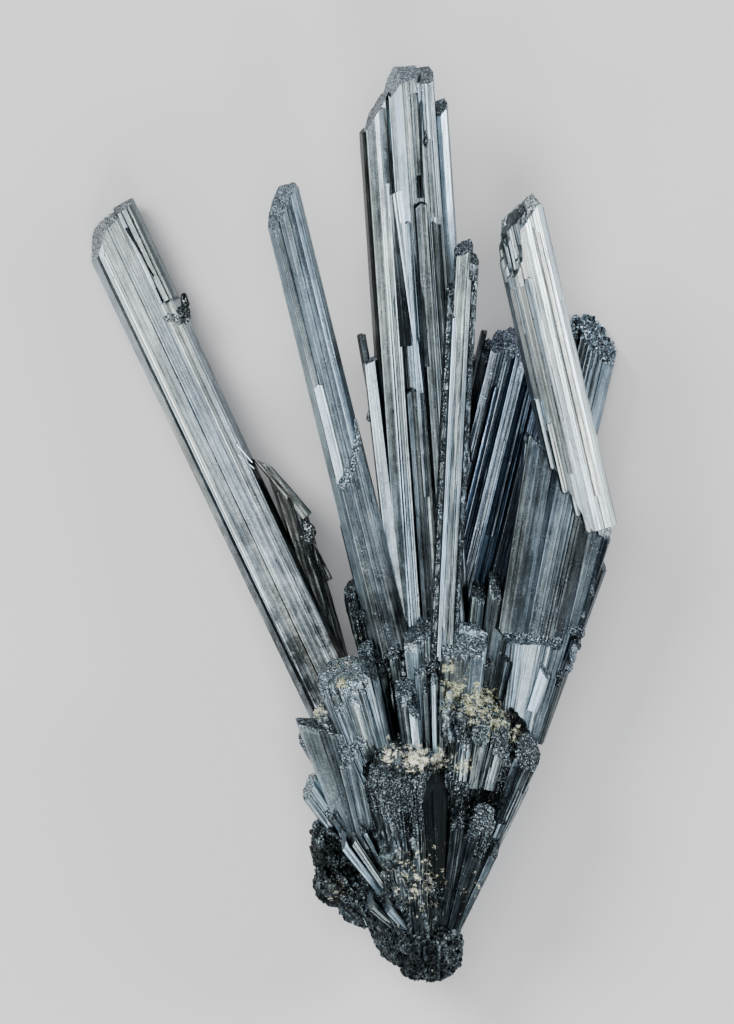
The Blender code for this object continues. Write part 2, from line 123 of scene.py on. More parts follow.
def ruled_block(columns, rows, courses):
    """A cube whose sides are ruled into columns, rows and courses."""
    bpy.ops.object.select_all(action="DESELECT")
    bpy.ops.mesh.primitive_cube_add(size=2)
    block = bpy.context.object
    bpy.ops.object.mode_set(mode="EDIT")
    bpy.ops.mesh.select_mode(type="EDGE")
    for axis, parts in enumerate((columns, rows, courses)):
        bpy.ops.mesh.select_all(action="DESELECT")
        bm = bmesh.from_edit_mesh(block.data)
        for edge in bm.edges:
            run = edge.verts[1].co - edge.verts[0].co
            edge.select_set(abs(run[axis]) > 1e-6)
        bmesh.update_edit_mesh(block.data)
        if parts > 1:
            bpy.ops.mesh.subdivide(number_cuts=parts - 1)
    # a crystal's own axes are left-handed, which turns its block inside out, so it starts so
    bpy.ops.mesh.select_all(action="SELECT")
    bpy.ops.mesh.flip_normals()
    bpy.ops.object.mode_set(mode="OBJECT")
    return block


def ring_of(crystal, count, chance):
    """The outline in millimetres as `count` points, with each point's way out, depth, tone and wear."""
    half = np.array((crystal.width / 2, crystal.thickness / 2))
    corners = np.array(crystal.outline) * half
    sides = np.roll(corners, -1, axis=0) - corners
    lengths = np.linalg.norm(sides, axis=1)
    shares = np.maximum(1, np.floor(lengths / lengths.sum() * count)).astype(int)
    while shares.sum() < count:
        shares[np.argmax(lengths / shares)] += 1
    while shares.sum() > count:
        shares[np.argmax(shares)] -= 1
    rows = []
    for i, (corner, side, share) in enumerate(zip(corners, sides, shares)):
        away = np.array((-side[1], side[0])) / np.linalg.norm(side)
        depth = chance.choice((0.4, 0.8, 1.3))  # some sides are smooth and some deeply striated
        tone = crystal.tones[i] if i < len(crystal.tones) else chance.choice((0.2, 0.35, 0.5, 0.6))
        for step in range(share):
            # the edge column's tone is raised by 0.12 below, a painted highlight along each edge of the
            # crystal
            edge = step == 0  # the edges stay crisp and catch the light
            point = corner + side * step / share
            rows.append((*point, *away, 0.3 if edge else depth, tone + 0.12 * edge, i in crystal.worn))
    rows = np.array(rows)
    return rows[:, :2], rows[:, 2:4], rows[:, 4], rows[:, 5], rows[:, 6] > 0


def striae_of(count, courses, chance):
    """How far each column stands out at each course: fine lines, broader steps, and slips that end."""
    step_depth, line_depth, slip_depth, widest_step, widest_slip = 0.9, 0.6, 1.1, 4, 5
    steps = np.repeat(chance.uniform(-1, 1, count), chance.integers(1, widest_step + 1, count))[:count]
    fine = chance.uniform(-line_depth, line_depth, count)
    lines = np.tile((steps * step_depth + fine)[:, None], courses + 1)
    for _ in range(count // 3):
        first = chance.integers(0, count)
        wide = chance.integers(1, widest_slip + 1)
        low, high = np.sort(chance.integers(0, courses + 2, 2))
        lines[(first + np.arange(wide)) % count, low:high] += chance.uniform(-slip_depth, slip_depth)
    return lines


def streaks_of(count, courses, strength, chance):
    """How much brighter or darker each column is at each course: broad bands, and single fine lines."""
    band, line, widest_band, part_long = 0.15, 0.06, 6, 0.6
    bands = np.repeat(chance.uniform(-band, band, count), chance.integers(1, widest_band + 1, count))[:count]
    tones = np.tile((bands + chance.uniform(-line, line, count))[:, None], courses)
    for _ in range(count // 3):
        ends_early = chance.random() < part_long
        low, high = np.sort(chance.integers(0, courses + 1, 2)) if ends_early else (0, courses)
        tones[chance.integers(0, count), low:high] += chance.choice((-0.5, -0.3, 0.24))
    return tones * strength[:, None]


def field(points, size, seed):
    """Smooth noise at each of the points, for bumps about `size` millimetres apart."""
    return np.array([noise.noise(Vector(p) / size + Vector((seed * 7.3, 0, 0))) for p in points])


def bumps(points, seed, *layers):
    """Layers of noise one over another: how high each one's bumps are, and how far apart."""
    return sum(height * field(points, size, seed) for height, size in layers)


def mark(mesh, stria, etched, shade):
    """What the finish reads: the place around and along the crystal, how granular it is at each corner
    of each face, and how bright each face is."""
    mesh.attributes.new("stria", "FLOAT_VECTOR", "CORNER").data.foreach_set("vector", stria.ravel())
    mesh.attributes.new("etched", "FLOAT", "CORNER").data.foreach_set("value", etched.ravel())
    mesh.attributes.new("shade", "FLOAT", "FACE").data.foreach_set("value", shade)


def around_block(s, t, columns, rows):
    """Where each corner of the block lies around it, counted in columns, and how far out it lies."""
    out = np.maximum(np.abs(s), np.abs(t))
    s, t = s / np.maximum(out, 1e-9), t / np.maximum(out, 1e-9)
    left = s < -0.9999
    around = np.select(
        [left, t > 0.9999, s > 0.9999],
        [t * rows / 2, rows / 2 + (s + 1) / 2 * columns, rows / 2 + columns + (1 - t) / 2 * rows],
        rows * 1.5 + columns + (1 - s) / 2 * columns,
    )
    return np.where(left, around % (2 * (columns + rows)), around), out


def end_faces(crystal, at, inward, length, seed, chance):
    """How far above its foot the crystal starts and ends at each place `at` across it, with what is
    broken out of the tip, and the grains of the etched ends."""
    top = np.full(len(at), length + crystal.width)
    bottom = np.zeros(len(at))
    for nx, ny, nz, drop in crystal.ends:
        slope = -(nx * at[:, 0] + ny * at[:, 1]) / nz
        if nz > 0:
            top = np.minimum(top, length - drop + slope)
        else:
            bottom = np.maximum(bottom, drop + slope)
    for x, y, wide, deep in crystal.hollows:
        near = 1 - np.hypot((at[:, 0] - x) / wide, (at[:, 1] - y) / wide)
        top -= deep * np.clip(near * 3, 0, 1)
    flat = np.column_stack((at, np.zeros(len(at))))
    grains = bumps(flat, seed, (1.2, 2.4), (1.4, 0.8)) + chance.uniform(-0.6, 0.6, len(at))
    rounded_rim = 0.2 * crystal.frost * np.clip(inward * 4 - 3, 0, 1) ** 2
    top += crystal.etch * grains - rounded_rim
    bottom += crystal.etch * grains * (bottom > 0)
    least_length = 0.5
    return bottom, np.maximum(top, bottom + least_length)


def frost_on(crystal, along, bottom, top):
    """How granular the sides are at each height: from 1 at an etched end to 0 beyond its frost."""
    reach, full = max(crystal.frost, 0.1), 1.3
    frosted = np.clip(full - (top - along) / reach, 0, 1)
    if any(end[2] < 0 for end in crystal.ends):
        frosted = np.maximum(frosted, np.clip(full - (along - bottom) / reach, 0, 1))
    return frosted


def grow(crystal, seed):
    """The crystal as a mesh object, with its striae, its end faces and its rough etched end."""
    chance = np.random.default_rng(seed)
    a, f, up = frame_of(crystal)
    foot = Vector(crystal.foot)
    length = (Vector(crystal.tip) - foot).length
    columns = max(3, round(crystal.width / crystal.pitch))
    rows = max(2, 2 * round(crystal.thickness / crystal.pitch / 2))
    courses = max(2, round(length / crystal.course))
    made = ruled_block(columns, rows, courses)
    mesh = made.data
    s, t, h = read(mesh.vertices, "co", 3).T
    h = (h + 1) / 2
    around, inward = around_block(s, t, columns, rows)
    count = 2 * (columns + rows)
    low = np.floor(around + 1e-6).astype(int)
    part = (around - low)[:, None]
    low, high = low % count, (low + 1) % count
    course = np.rint(h * courses).astype(int)
    if crystal.frost:  # shorter courses where the grains are
        h = 1 - (1 - h) ** 1.5

    ring, outward, depth, tone, worn = ring_of(crystal, count, chance)
    lines = striae_of(count, courses, chance) * depth[:, None] * crystal.striae
    deepest_wear, highest_wear = -0.28, 0.06
    lines[worn] += chance.uniform(deepest_wear, highest_wear, (worn.sum(), courses + 1))
    rims = ring[:, None] + outward[:, None] * lines[:, :, None]
    at = ((1 - part) * rims[low, course] + part * rims[high, course]) * inward[:, None]

    bottom, top = end_faces(crystal, at, inward, length, seed, chance)
    along = bottom + h * (top - bottom)
    at = at * (crystal.taper + (1 - crystal.taper) * along / length)[:, None]
    place = np.array(foot + PLACE) + np.outer(at[:, 0], a) + np.outer(at[:, 1], f) + np.outer(along, up)
    frosted = frost_on(crystal, along, bottom, top)
    if crystal.crumble or crystal.frost:
        spots = np.column_stack((at, along * 0.15))
        push = crystal.crumble * bumps(spots, seed, (1, 2.5), (0.6, 0.9))
        if crystal.frost:
            push += frosted * (bumps(place, seed, (0.3, 2.2), (0.3, 0.8)) - 0.15)
        side = at / np.maximum(np.linalg.norm(at, axis=1), 0.1)[:, None]
        place += np.outer(push * side[:, 0], a) + np.outer(push * side[:, 1], f)
    place[:, 2] = np.maximum(place[:, 2], LOWEST)
    mesh.vertices.foreach_set("co", (place * MM).ravel())

    # what the finish reads on each face: its place among the striae, its tone and its grains
    pitch = np.linalg.norm(ring - np.roll(ring, 1, axis=0), axis=1).mean()
    corners = read(mesh.loops, "vertex_index", kind=int).reshape(-1, 4)
    is_foot = (h[corners] < 0.0001).all(axis=1)
    is_end = (h[corners] > 0.9999).all(axis=1) | is_foot
    turned = around[corners]
    turned = np.where(turned.max(axis=1, keepdims=True) - turned > count / 2, turned + count, turned)
    column = np.floor(turned.mean(axis=1)).astype(int) % count
    row = np.minimum(course[corners].min(axis=1), courses - 1)
    stria = np.stack((turned * pitch, along[corners], np.full(turned.shape, seed % 97)), axis=2)

    streaks = streaks_of(count, courses, np.clip(depth * crystal.striae * 9, 0.12, 1.1), chance)
    patches = field(np.column_stack((column * 0.4, row * crystal.course, 0 * row)), 4, seed) > -0.12
    wear = np.where(worn[column], np.where(patches, 0.8, 0.3), 0)
    foot_tone, tip_tone = 0.55, 0.2 + 0.55 * np.median(crystal.tones or 0.3)
    side_tone = tone[column] + streaks[column, row] - 0.2 * (wear > 0.5)
    shade = np.where(is_end, np.where(is_foot, foot_tone, tip_tone), side_tone)
    end_grain = 1 if crystal.etch > 0.15 else 0.35
    side_grain = np.maximum(wear[:, None], frosted[corners] * (crystal.frost > 0))
    mark(mesh, stria, np.where(is_end[:, None], end_grain, side_grain), shade)
    dull = crystal.dull * np.clip(1.2 - 2 * along[corners] / length, 0, 1)
    mesh.attributes.new("dull", "FLOAT", "CORNER").data.foreach_set("value", dull.ravel())
    return made


def crust(centre, radii, seed, detail=4, tone=0.4):
    """A crumbly lump or patch: a ball drawn out to its size and broken into grains."""
    bpy.ops.object.select_all(action="DESELECT")
    bpy.ops.mesh.primitive_ico_sphere_add(subdivisions=detail, radius=1)
    made = bpy.context.object
    mesh = made.data
    unit = read(mesh.vertices, "co", 3)
    place = unit * np.array(radii) + np.array(centre)
    bump = min(radii) * 0.1 + 0.25
    place += unit * (bumps(place, seed, (2, bump * 7), (1, bump * 1.2)) * bump)[:, None]
    place[:, 2] = np.maximum(place[:, 2], LOWEST_GRAIN)
    mesh.vertices.foreach_set("co", ((place + np.array(PLACE)) * MM).ravel())
    corners = read(mesh.loops, "vertex_index", kind=int)
    shade = tone + np.random.default_rng(seed).uniform(-0.2, 0.2, len(mesh.polygons))
    mark(mesh, place[corners] * 0.3, np.full(len(corners), 0.75), shade)
    return made


def join(name, parts):
    """The parts as one piece called `name`."""
    bpy.ops.object.select_all(action="DESELECT")
    for part in parts:
        part.select_set(True)
    bpy.context.view_layer.objects.active = parts[0]
    bpy.ops.object.join()
    whole = bpy.context.object
    whole.name = name
    whole.data.name = name
    return whole


def slips(lead, count, seed, tones, low, high, proud, sunk=0.0):
    """Thin later crystals on the sides of `lead`, parallel to it, that start and end along it between
    the shares `low` and `high` of its length. They stand `proud` of its sides, and reach `sunk` deeper
    into them than the thinnest ones need."""
    chance = np.random.default_rng(seed)
    length = (Vector(lead.tip) - Vector(lead.foot)).length
    made = []
    for _ in range(count):
        across = chance.uniform(-0.42, 0.42)
        side = 1 if chance.random() < 0.75 else -1
        roof = np.interp(across * 2, (-1, -0.75, 0, 0.75, 1), (0.2, 0.68, 0.95, 0.66, 0.2))
        width = chance.uniform(0.6, 1.7)
        thick = chance.uniform(1.2, 2) + sunk
        start = length * chance.uniform(low, max(low, high - 0.35))
        end = min(length * high, start + length * chance.uniform(0.15, 0.6))
        scale = lead.taper + (1 - lead.taper) * (start + end) / 2 / length
        forward = side * (roof * lead.thickness / 2 * scale + proud - thick / 2)
        slope = chance.choice((-1, 1)) * chance.uniform(0.5, 0.9)
        ends = ((slope, 0.5 * side, 0.4, 0), (-slope, 0.5 * side, -0.4, 0))
        outline = PENCIL if chance.random() < 0.5 else BLADE
        tone = chance.choice(tones)
        shape = (width, thick, outline, (tone * 0.3, tone, tone, tone * 0.5), ends)
        across = across * lead.width * scale
        made.append(beside(lead, across, forward, start, end, *shape, pitch=0.35, striae=0.06, etch=0.15))
    return made


def stibnite(name, tint, strength, roughness, painted_glint_strength=0.7, rust=False):
    """Metallic grey with streaks along each crystal, a granular etched end, and a touch of oxide."""
    made = bpy.data.materials.new(name)
    made.use_nodes = True
    nodes, links = made.node_tree.nodes, made.node_tree.links
    shader = nodes["Principled BSDF"]
    shader.inputs["Metallic"].default_value = 1.0

    def node(kind, **sockets):
        new = nodes.new(kind)
        for key, value in sockets.items():
            new.inputs[key].default_value = value
        return new

    def attribute(key):
        new = nodes.new("ShaderNodeAttribute")
        new.attribute_name = key
        return new

    def scaled(vector, *size):
        new = node("ShaderNodeMapping", Scale=size)
        links.new(vector, new.inputs["Vector"])
        return new.outputs["Vector"]

    def noise_at(vector, detail=3.0, rough=0.6):
        new = node("ShaderNodeTexNoise", Scale=1.0, Detail=detail, Roughness=rough)
        links.new(vector, new.inputs["Vector"])
        return new.outputs["Fac"]

    def cells_at(vector):
        new = node("ShaderNodeTexVoronoi", Scale=1.0)
        links.new(vector, new.inputs["Vector"])
        return new.outputs["Distance"]

    def ramp(value, *stops):
        new = nodes.new("ShaderNodeValToRGB")
        bar = new.color_ramp
        while len(bar.elements) < len(stops):
            bar.elements.new(0.5)
        for element, (place, colour) in zip(bar.elements, stops):
            element.position = place
            element.color = (*colour, 1) if isinstance(colour, tuple) else (colour, colour, colour, 1)
        links.new(value, new.inputs["Fac"])
        return new.outputs["Color"]

    def feed(sockets, values):
        for socket, value in zip(sockets, values):
            if isinstance(value, (int, float, tuple)):
                socket.default_value = value
            else:
                links.new(value, socket)

    def combine(how, first, second):
        new = nodes.new("ShaderNodeMath")
        new.operation = how
        feed(new.inputs, (first, second))
        return new.outputs["Value"]

    def add(first, *others):
        for other in others:
            first = combine("ADD", first, other)
        return first

    def times(first, second):
        return combine("MULTIPLY", first, second)

    def swing(value, amount):
        return times(combine("SUBTRACT", value, 0.5), amount)

    def blend(amount, first, second, how="MIX"):
        new = nodes.new("ShaderNodeMix")
        new.data_type = "RGBA"
        new.blend_type = how
        feed((new.inputs[0], new.inputs[6], new.inputs[7]), (amount, first, second))
        return new.outputs[2]

    def lustre(value):
        """From mirror black through lead grey to silver."""
        greys = ((0.0, 0.008), (0.25, 0.045), (0.5, 0.17), (0.75, 0.42), (1.0, 0.85))
        return ramp(value, *((place, tuple(np.multiply(tint, grey * strength))) for place, grey in greys))

    stria = attribute("stria").outputs["Vector"]
    spot = nodes.new("ShaderNodeTexCoord").outputs["Object"]
    etched = attribute("etched").outputs["Fac"]
    shade = attribute("shade").outputs["Fac"]

    def along(across, length, *rough):
        """Noise that follows the striae: how often it changes in a millimetre across and along them."""
        return noise_at(scaled(stria, across, length, 1), *rough)

    def all_over(size, *rough):
        """Noise that is alike in every direction: how often it changes in a metre."""
        return noise_at(scaled(spot, size, size, size), *rough)

    # fine streaks along the crystal, clouds that brighten and fade, and a frosty mottle
    hair = along(4.5, 0.03, 2.0)
    band = along(0.7, 0.012, 4.0, 0.65)
    cloud = along(0.1, 0.03, 4.0, 0.6)
    mottle = along(0.4, 0.15, 6.0, 0.75)
    sparkle = all_over(1900, 2.0)
    tone = add(shade, swing(band, 0.24), swing(cloud, 0.75), swing(mottle, 0.65), swing(hair, 0.28))
    tone = add(tone, swing(sparkle, 0.3))
    stain = ramp(all_over(90, 6.0, 0.7), (0.42, 0.25), (0.6, 1.0))
    side = lustre(combine("SUBTRACT", tone, times(stain, attribute("dull").outputs["Fac"])))
    warmth = ramp(along(0.12, 0.006, 2.0), (0.38, (0.9, 0.98, 1.06)), (0.6, (1.05, 1.0, 0.9)))
    side = blend(1.0, side, warmth, "MULTIPLY")

    # grains on the etched ends, with painted glints on them and painted shade in the gaps between them, and
    # the same grains as a thin bloom in patches on the sides
    painted_glint = times(ramp(sparkle, (0.48, 0.0), (0.66, 1.0)), painted_glint_strength)
    end = lustre(add(combine("SUBTRACT", shade, 0.16), painted_glint, swing(mottle, 0.6), swing(hair, 0.5)))
    gaps = ramp(cells_at(scaled(spot, 1300, 1300, 1300)), (0.45, 1.0), (0.9, 0.35))
    end = blend(1.0, end, gaps, "MULTIPLY")
    grainy = ramp(add(etched, swing(all_over(330, 4.0), 0.9)), (0.46, 0.0), (0.6, 1.0))
    bloom = ramp(all_over(110, 6.0, 0.75), (0.53, 0.0), (0.62, 0.4))
    colour = blend(combine("MAXIMUM", grainy, bloom), side, end)

    # a few small pits, dipped by the bump and painted black as the shade inside them
    pit = ramp(cells_at(scaled(stria, 0.4, 0.13, 1)), (0.05, 1.0), (0.09, 0.0))
    pit = times(pit, ramp(all_over(70), (0.5, 0.0), (0.56, 1.0)))
    colour = blend(pit, colour, (0.004, 0.004, 0.006, 1))
    if rust:
        # oxide in ragged clumps of cream or ochre grains, dull where the crystals are metallic
        oxide = nodes.new("ShaderNodeSeparateXYZ")
        links.new(attribute("oxide").outputs["Vector"], oxide.inputs["Vector"])
        reach = add(times(oxide.outputs["X"], 0.47), swing(all_over(420, 8.0, 0.8), 2.6))
        crusted = ramp(reach, (0.36, 0.0), (0.5, 1.0))
        cream = ((0.33, (0.06, 0.07, 0.05)), (0.42, (0.75, 0.73, 0.38)), (0.49, (1.0, 1.0, 0.8)))
        cream = ramp(sparkle, *cream, (0.58, (1.0, 1.0, 1.0)))
        ochre = ((0.36, (0.04, 0.045, 0.025)), (0.48, (0.23, 0.23, 0.07)), (0.6, (0.7, 0.76, 0.58)))
        colour = blend(crusted, colour, blend(oxide.outputs["Y"], cream, ramp(sparkle, *ochre)))
        links.new(combine("SUBTRACT", 1.0, crusted), shader.inputs["Metallic"])
    links.new(colour, shader.inputs["Base Color"])
    links.new(add(swing(band, 0.2), times(grainy, 0.08), roughness), shader.inputs["Roughness"])

    bump = node("ShaderNodeBump", Strength=0.5, Distance=0.0002)
    height = add(times(hair, 0.6), times(sparkle, 0.15), times(times(sparkle, grainy), 1.5))
    links.new(combine("SUBTRACT", height, pit), bump.inputs["Height"])
    links.new(bump.outputs["Normal"], shader.inputs["Normal"])
    return made


def dress(piece, material):
    """Gives the piece its finish and its place in the assembly."""
    piece.data.materials.clear()
    piece.data.materials.append(material)
    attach(piece, "root")


def bundle(node, crystals, seed, material, lumps=()):
    """The crystals and lumps grown together as one finished piece, in the place of the plain `node`."""
    made = join(f"{node}_crystals", [*(grow(c, seed + i) for i, c in enumerate(crystals)), *lumps])
    dress(made, material)
    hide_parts(node)
    return made


bright = stibnite("bright_stibnite_finish", (0.87, 1.0, 1.06), 1.0, 0.3)
blue = stibnite("blue_stibnite_finish", (0.8, 1.0, 1.13), 0.92, 0.3)
grey = stibnite("grey_stibnite_finish", (0.77, 0.98, 1.14), 0.8, 0.33)
black = stibnite("dark_stibnite_finish", (0.76, 0.96, 1.2), 0.85, 0.24)

LEFT_ROOF = (
    (-1, -0.1), (-0.8, 0.5), (-0.7, 0.57), (-0.64, 0.64), (-0.5, 0.74), (-0.14, 0.93), (-0.08, 0.96),
    (0.8, 0.66), (1, 0), (0.7, -0.7), (0, -1), (-0.7, -0.7),
)
left_lead = Crystal(
    (-29.3, 88.4, 31), (-108.7, 256.4, 5.3), 21.5, 13, LEFT_ROOF, (0.7, 0.2, 1.1, 0.9, 0.66, 0.3, 0.8, 0.5),
    ((-0.775, 0.5, 0.6, 3.6), (-0.06, 0.8, 0.8, 4), (-0.164, 0, 1, 5.8)), 0.86,
    pitch=0.36, striae=0.04, etch=0.16, dull=0.5,
)
SPLIT = dict(pitch=0.4, course=2, crumble=0.35, etch=0.5, striae=0.015)
left = [
    left_lead,
    beside(
        left_lead, 7, 2.4, 147, 183.6, 7.6, 9, SLAB, (0.1, 0.76, 0.78, 0.5),
        ((-0.16, 0.6, 0.8, 0), (0, 0, 1, 0)), etch=0.16,
    ),
    beside(
        left_lead, -5.6, 2.2, 4, 172, 2.6, 7, PENCIL, (0.1, 0.95, 0.5), ((-0.77, 0.38, 0.5, 0),), 0.9,
        dull=0.9,
    ),
    Crystal(
        (-26, 92, 27), (-46.5, 161, 19), 9, 9, BLADE, (0, 0.12, 0.4, 0.15), ((0.88, 0.15, 0.45, 1),), 0.8,
        **SPLIT,
    ),
    Crystal(
        (-40, 153, 22), (-55, 171, 20), 3.4, 4, SLAB, (0.1, 0.35, 0.6, 0.9), ((0.9, 0.1, 0.4, 1),), 1.2,
        **SPLIT,
    ),
    Crystal((-33, 132, 22), (-46, 158, 21), 3, 4, ROOF, (0.1, 0.3, 0.2), ((0.6, 0.1, 0.5, 0),), 1, **SPLIT),
    # a black sliver in the crack beside the slip, which leans across the blade: painted shade in the crack
    Crystal(
        (-85.5, 223.2, 16.6), (-99.4, 247.5, 13.6), 1.1, 1.2, PENCIL, (0, 0, 0, 0, 0, 0), POINTED_UP, 1.3,
        **SPLIT,
    ),
]
# thin crystals that cross the blade's right edge above the splinter
for foot, tip in (((-58, 170.6), (-63.4, 176.8)), ((-57.4, 168.6), (-62.6, 173))):
    left.append(Crystal((*foot, 22.2), (*tip, 22.8), 0.6, 0.8, PENCIL, (0.2, 0.8, 0.2), POINTED_UP))
left += slips(left_lead, 4, 101, (0.55, 0.7), 0.0, 0.8, 0.02)
left_crusts = [
    crust((-84.6, 217.4, 15.9), (4.2, 2.3, 1), 21, 4, 0.5),
    crust((-80.9, 219, 15.2), (2.6, 3.2, 1.1), 22, 4, 0.3),
    crust((-80.2, 223.4, 14.6), (1.3, 3, 1.2), 26, 3, 0.1),
    crust((-40, 147, 23.4), (2.2, 5, 1.8), 23),
]
bundle("left_blade", left, 200, bright, left_crusts)

# --- Slender blade ---
# A narrow lead-grey crystal of stibnite that stands on the root and leans left, with a shorter one
# grown along its lower front that ends in an oblique fibrous face, and one clean facet above it that
# shines like a mirror.
slender_lead = Crystal(
    (-9.1, 96.5, 38), (-49.4, 260.2, 47), 12.9, 9, BLADE, (0.8, 0.5, 0.55, 0.8),
    ((-0.75, 0.6, 0.61, 5), (0.7, 0.2, 0.68, -4.4), (0, 0, 1, 0.6)),
    pitch=0.36, striae=0.05, etch=0.2, dull=0.25,
)
slender = [
    slender_lead,
    beside(
        slender_lead, 1.1, 3, 0, 86, 11.4, 6, SLAB, (0.5, 0.4, 0.46, 0.4), ((-0.6, 1.3, 0.5, 6),), etch=0.2,
        striae=0.07, dull=0.3,
    ),
    beside(slender_lead, -3.4, -1.6, 0, 61, 7, 6, BLADE, (0.2, 0.4, 0.4), ((-0.6, 0.3, 0.74, 2),)),
    beside(slender_lead, -2.8, 1.9, 70, 104, 3.8, 5, SLAB, (0.3, 0.95, 0.8, 0.4), POINTED_UP, striae=0.1),
    beside(slender_lead, 4.6, 1, 60, 99, 1.6, 4, PENCIL, (0.3, 0.9, 0.4), ((0.8, 0.2, 0.5, 0),)),
]
slender += slips(slender_lead, 5, 102, (0.5, 0.62), 0.0, 0.9, 0.02)
bundle("slender_blade", slender, 300, grey)

# --- Tall bundle ---
# The longest crystals: bright smooth prisms of stibnite, grown side by side out of the root and
# striated from end to end, with later slips on their front and slivers down their left edge.
SMOOTH = dict(pitch=0.36, striae=0.08, etch=0.16, dull=0.35)
FLAT = ((-1, 0.3), (-0.86, 0.9), (-0.1, 1), (0.85, 0.88), (1, 0.2), (0.6, -1), (-0.6, -1))
tall_lead = Crystal(
    (3.8, 99.8, 34), (-9.8, 299.2, 42), 13, 16, ROOF, (0.7, 0.9, 0.86, 0.44, 0.15),
    ((-0.78, 0.35, 0.57, 1.4), (0, 0.42, 0.9, 2.4), (0, 0, 1, 0.4)), 0.9, **SMOOTH,
)
tall = [
    tall_lead,
    # the bright spear on the front, the dark wedge beside it, black slivers in the cracks as painted shade,
    # and the band above
    Crystal(
        (-2.6, 193, 45.4), (-10.4, 259, 44.2), 5.2, 6, SLAB, (0.1, 0.95, 0.8, 0.4), ((-0.3, 0.3, 0.9, 0),),
        0.3, **SMOOTH,
    ),
    Crystal((-8.1, 208, 43.6), (-13, 256.4, 45), 5, 4, FLAT, (0, 0.08, 0.14, 0), POINTED_UP, 0.9, **SMOOTH),
    Crystal((-4.2, 250, 47), (-1, 200, 45.2), 2.4, 3, PENCIL, (0, 0, 0, 0, 0, 0), LEVEL_TOP, 0.2),
    Crystal((-2.6, 256, 46.4), (-3.2, 287, 48.4), 0.8, 2, PENCIL, (0, 0, 0, 0, 0, 0), POINTED_UP, 1),
    beside(
        tall_lead, 3, 4.4, 164, 192, 4.4, 4, FLAT, (0.2, 0.42, 0.46, 0.1), ((0, 0.42, 0.9, 1),), 0.9,
        **SMOOTH,
    ),
    Crystal((-12.8, 257, 46), (-14.2, 285, 47), 0.6, 3, PENCIL, (0, -0.1, 0), POINTED_UP, 1),
    *(
        beside(tall_lead, *shape, **SMOOTH)
        for shape in (
            (-8.9, 1.5, 0, 187.6, 8, 12, FLAT, (0.2, 0.48, 0.8, 0.1), ((-0.78, 0.2, 0.57, 1.4),)),
            (-6.6, 6.7, 162, 187, 1.8, 2, FLAT, (0, 0.34, 0.3, 0), POINTED_UP),
            (-12.9, 0, 70, 180, 3.6, 8, PENCIL, (0, 0.02, 1), ((-0.5, 0.2, 0.84, 0),)),
            (7.6, -1, 1, 198.6, 6, 13, SLAB, (0, 0.62, 0.66, 0.4), ((0, 0.42, 0.9, 2.4),)),
            (8, 3.4, 96, 150, 4, 5, ROOF, (0.2, 0.5, 0.6, 0.55, 0.3), ((0.5, 0.3, 0.84, 1),)),
            (7.6, 3, 150, 177, 3.2, 5, FLAT, (0.2, 0.5, 0.6, 0.3), ((0.5, 0.1, 0.84, 1),)),
            (11.8, -1.5, 70, 186.5, 5.6, 8, BLADE, (0.1, 0.66, 0.86, 0.5), ((-0.4, 0.6, 0.87, 1),)),
            (3.6, 5.2, 2, 156, 4, 6, FLAT, (0, 0.5, 0.6, 0.1), POINTED_UP, 0.8),
            (-3.4, 5.6, 0, 96, 3.6, 6, FLAT, (0, 0.45, 0.3, 0.1), POINTED_UP, 0.8),
            (-1, 6.4, 60, 150, 2.2, 4, FLAT, (0, 0.75, 0.6, 0.1), POINTED_UP, 0.8),
            (-8, 4.6, 12, 124, 5, 5, SLAB, (0.5, 0.68, 0.7, 0.5), ((-0.93, 0.2, 0.2, 0),), 0.8),
        )
    ),
    Crystal(
        (-8.1, 109.5, 38), (-19.2, 204.8, 39), 5.5, 8, SLAB, (0.3, 0.8, 0.7, 0.4), ((-0.3, 0.2, 0.93, 1),),
        1.2, **SMOOTH,
    ),
    Crystal((-16.3, 177.8, 37), (-22.4, 211.9, 37), 3, 4, PENCIL, (0.05, 0.1, 0.9), ((0, 0.3, 0.95, 0),)),
]
tall += slips(tall_lead, 14, 103, (0.4, 0.55, 0.7), 0.0, 0.95, 0.2)
tall_crusts = [crust((-1.4, 275, 46.9), (0.8, 3, 1), 24, 3), crust((-19.6, 186, 39.6), (1, 2.4, 1.2), 25, 3)]
bundle("tall_bundle", tall, 400, blue, tall_crusts)

# --- Centre bundle ---
# Narrow stibnite crystals that stand on the root in front of the tall ones, silvery down the middle,
# worn at their tips and granular down both sides.
WORN = dict(course=1, pitch=0.4, etch=0.35, crumble=0.2)
centre_lead = Crystal(
    (4.2, 106.3, 51), (10.7, 240.6, 56), 6, 8, BLADE, (0.4, 0.7, 0.56, 0.35), ((-0.4, 0.5, 0.82, 1),), 0.75,
    worn=(0, 3), **WORN,
)
to_left, to_right = ((-0.5, 0.4, 0.77, 1),), ((0.5, 0.4, 0.77, 1),)
centre = [centre_lead] + [
    beside(centre_lead, *shape, 0.7, **more)
    for *shape, more in (
        (2.8, -0.5, 1, 131.6, 4.6, 7, SLAB, (0.3, 0.4, 0.5, 0.3), to_right, dict(worn=(1, 2, 3), **WORN)),
        (-3.2, -0.8, 0.5, 122, 4.2, 6, PENCIL, (0.3, 0.5, 0.3), to_left, dict(worn=(0, 1), **WORN)),
        (-1.6, 1.6, 1.5, 113, 3, 5, PENCIL, (0.3, 0.85, 0.6), to_left, {}),
        (2.2, 1.6, 1.2, 125.5, 2.6, 4, PENCIL, (0.2, 0.55, 0.3), to_right, {}),
    )
]
centre += slips(centre_lead, 10, 104, (0.3, 0.6, 0.8), 0.0, 0.95, 0.2)
bundle("centre_bundle", centre, 500, blue)

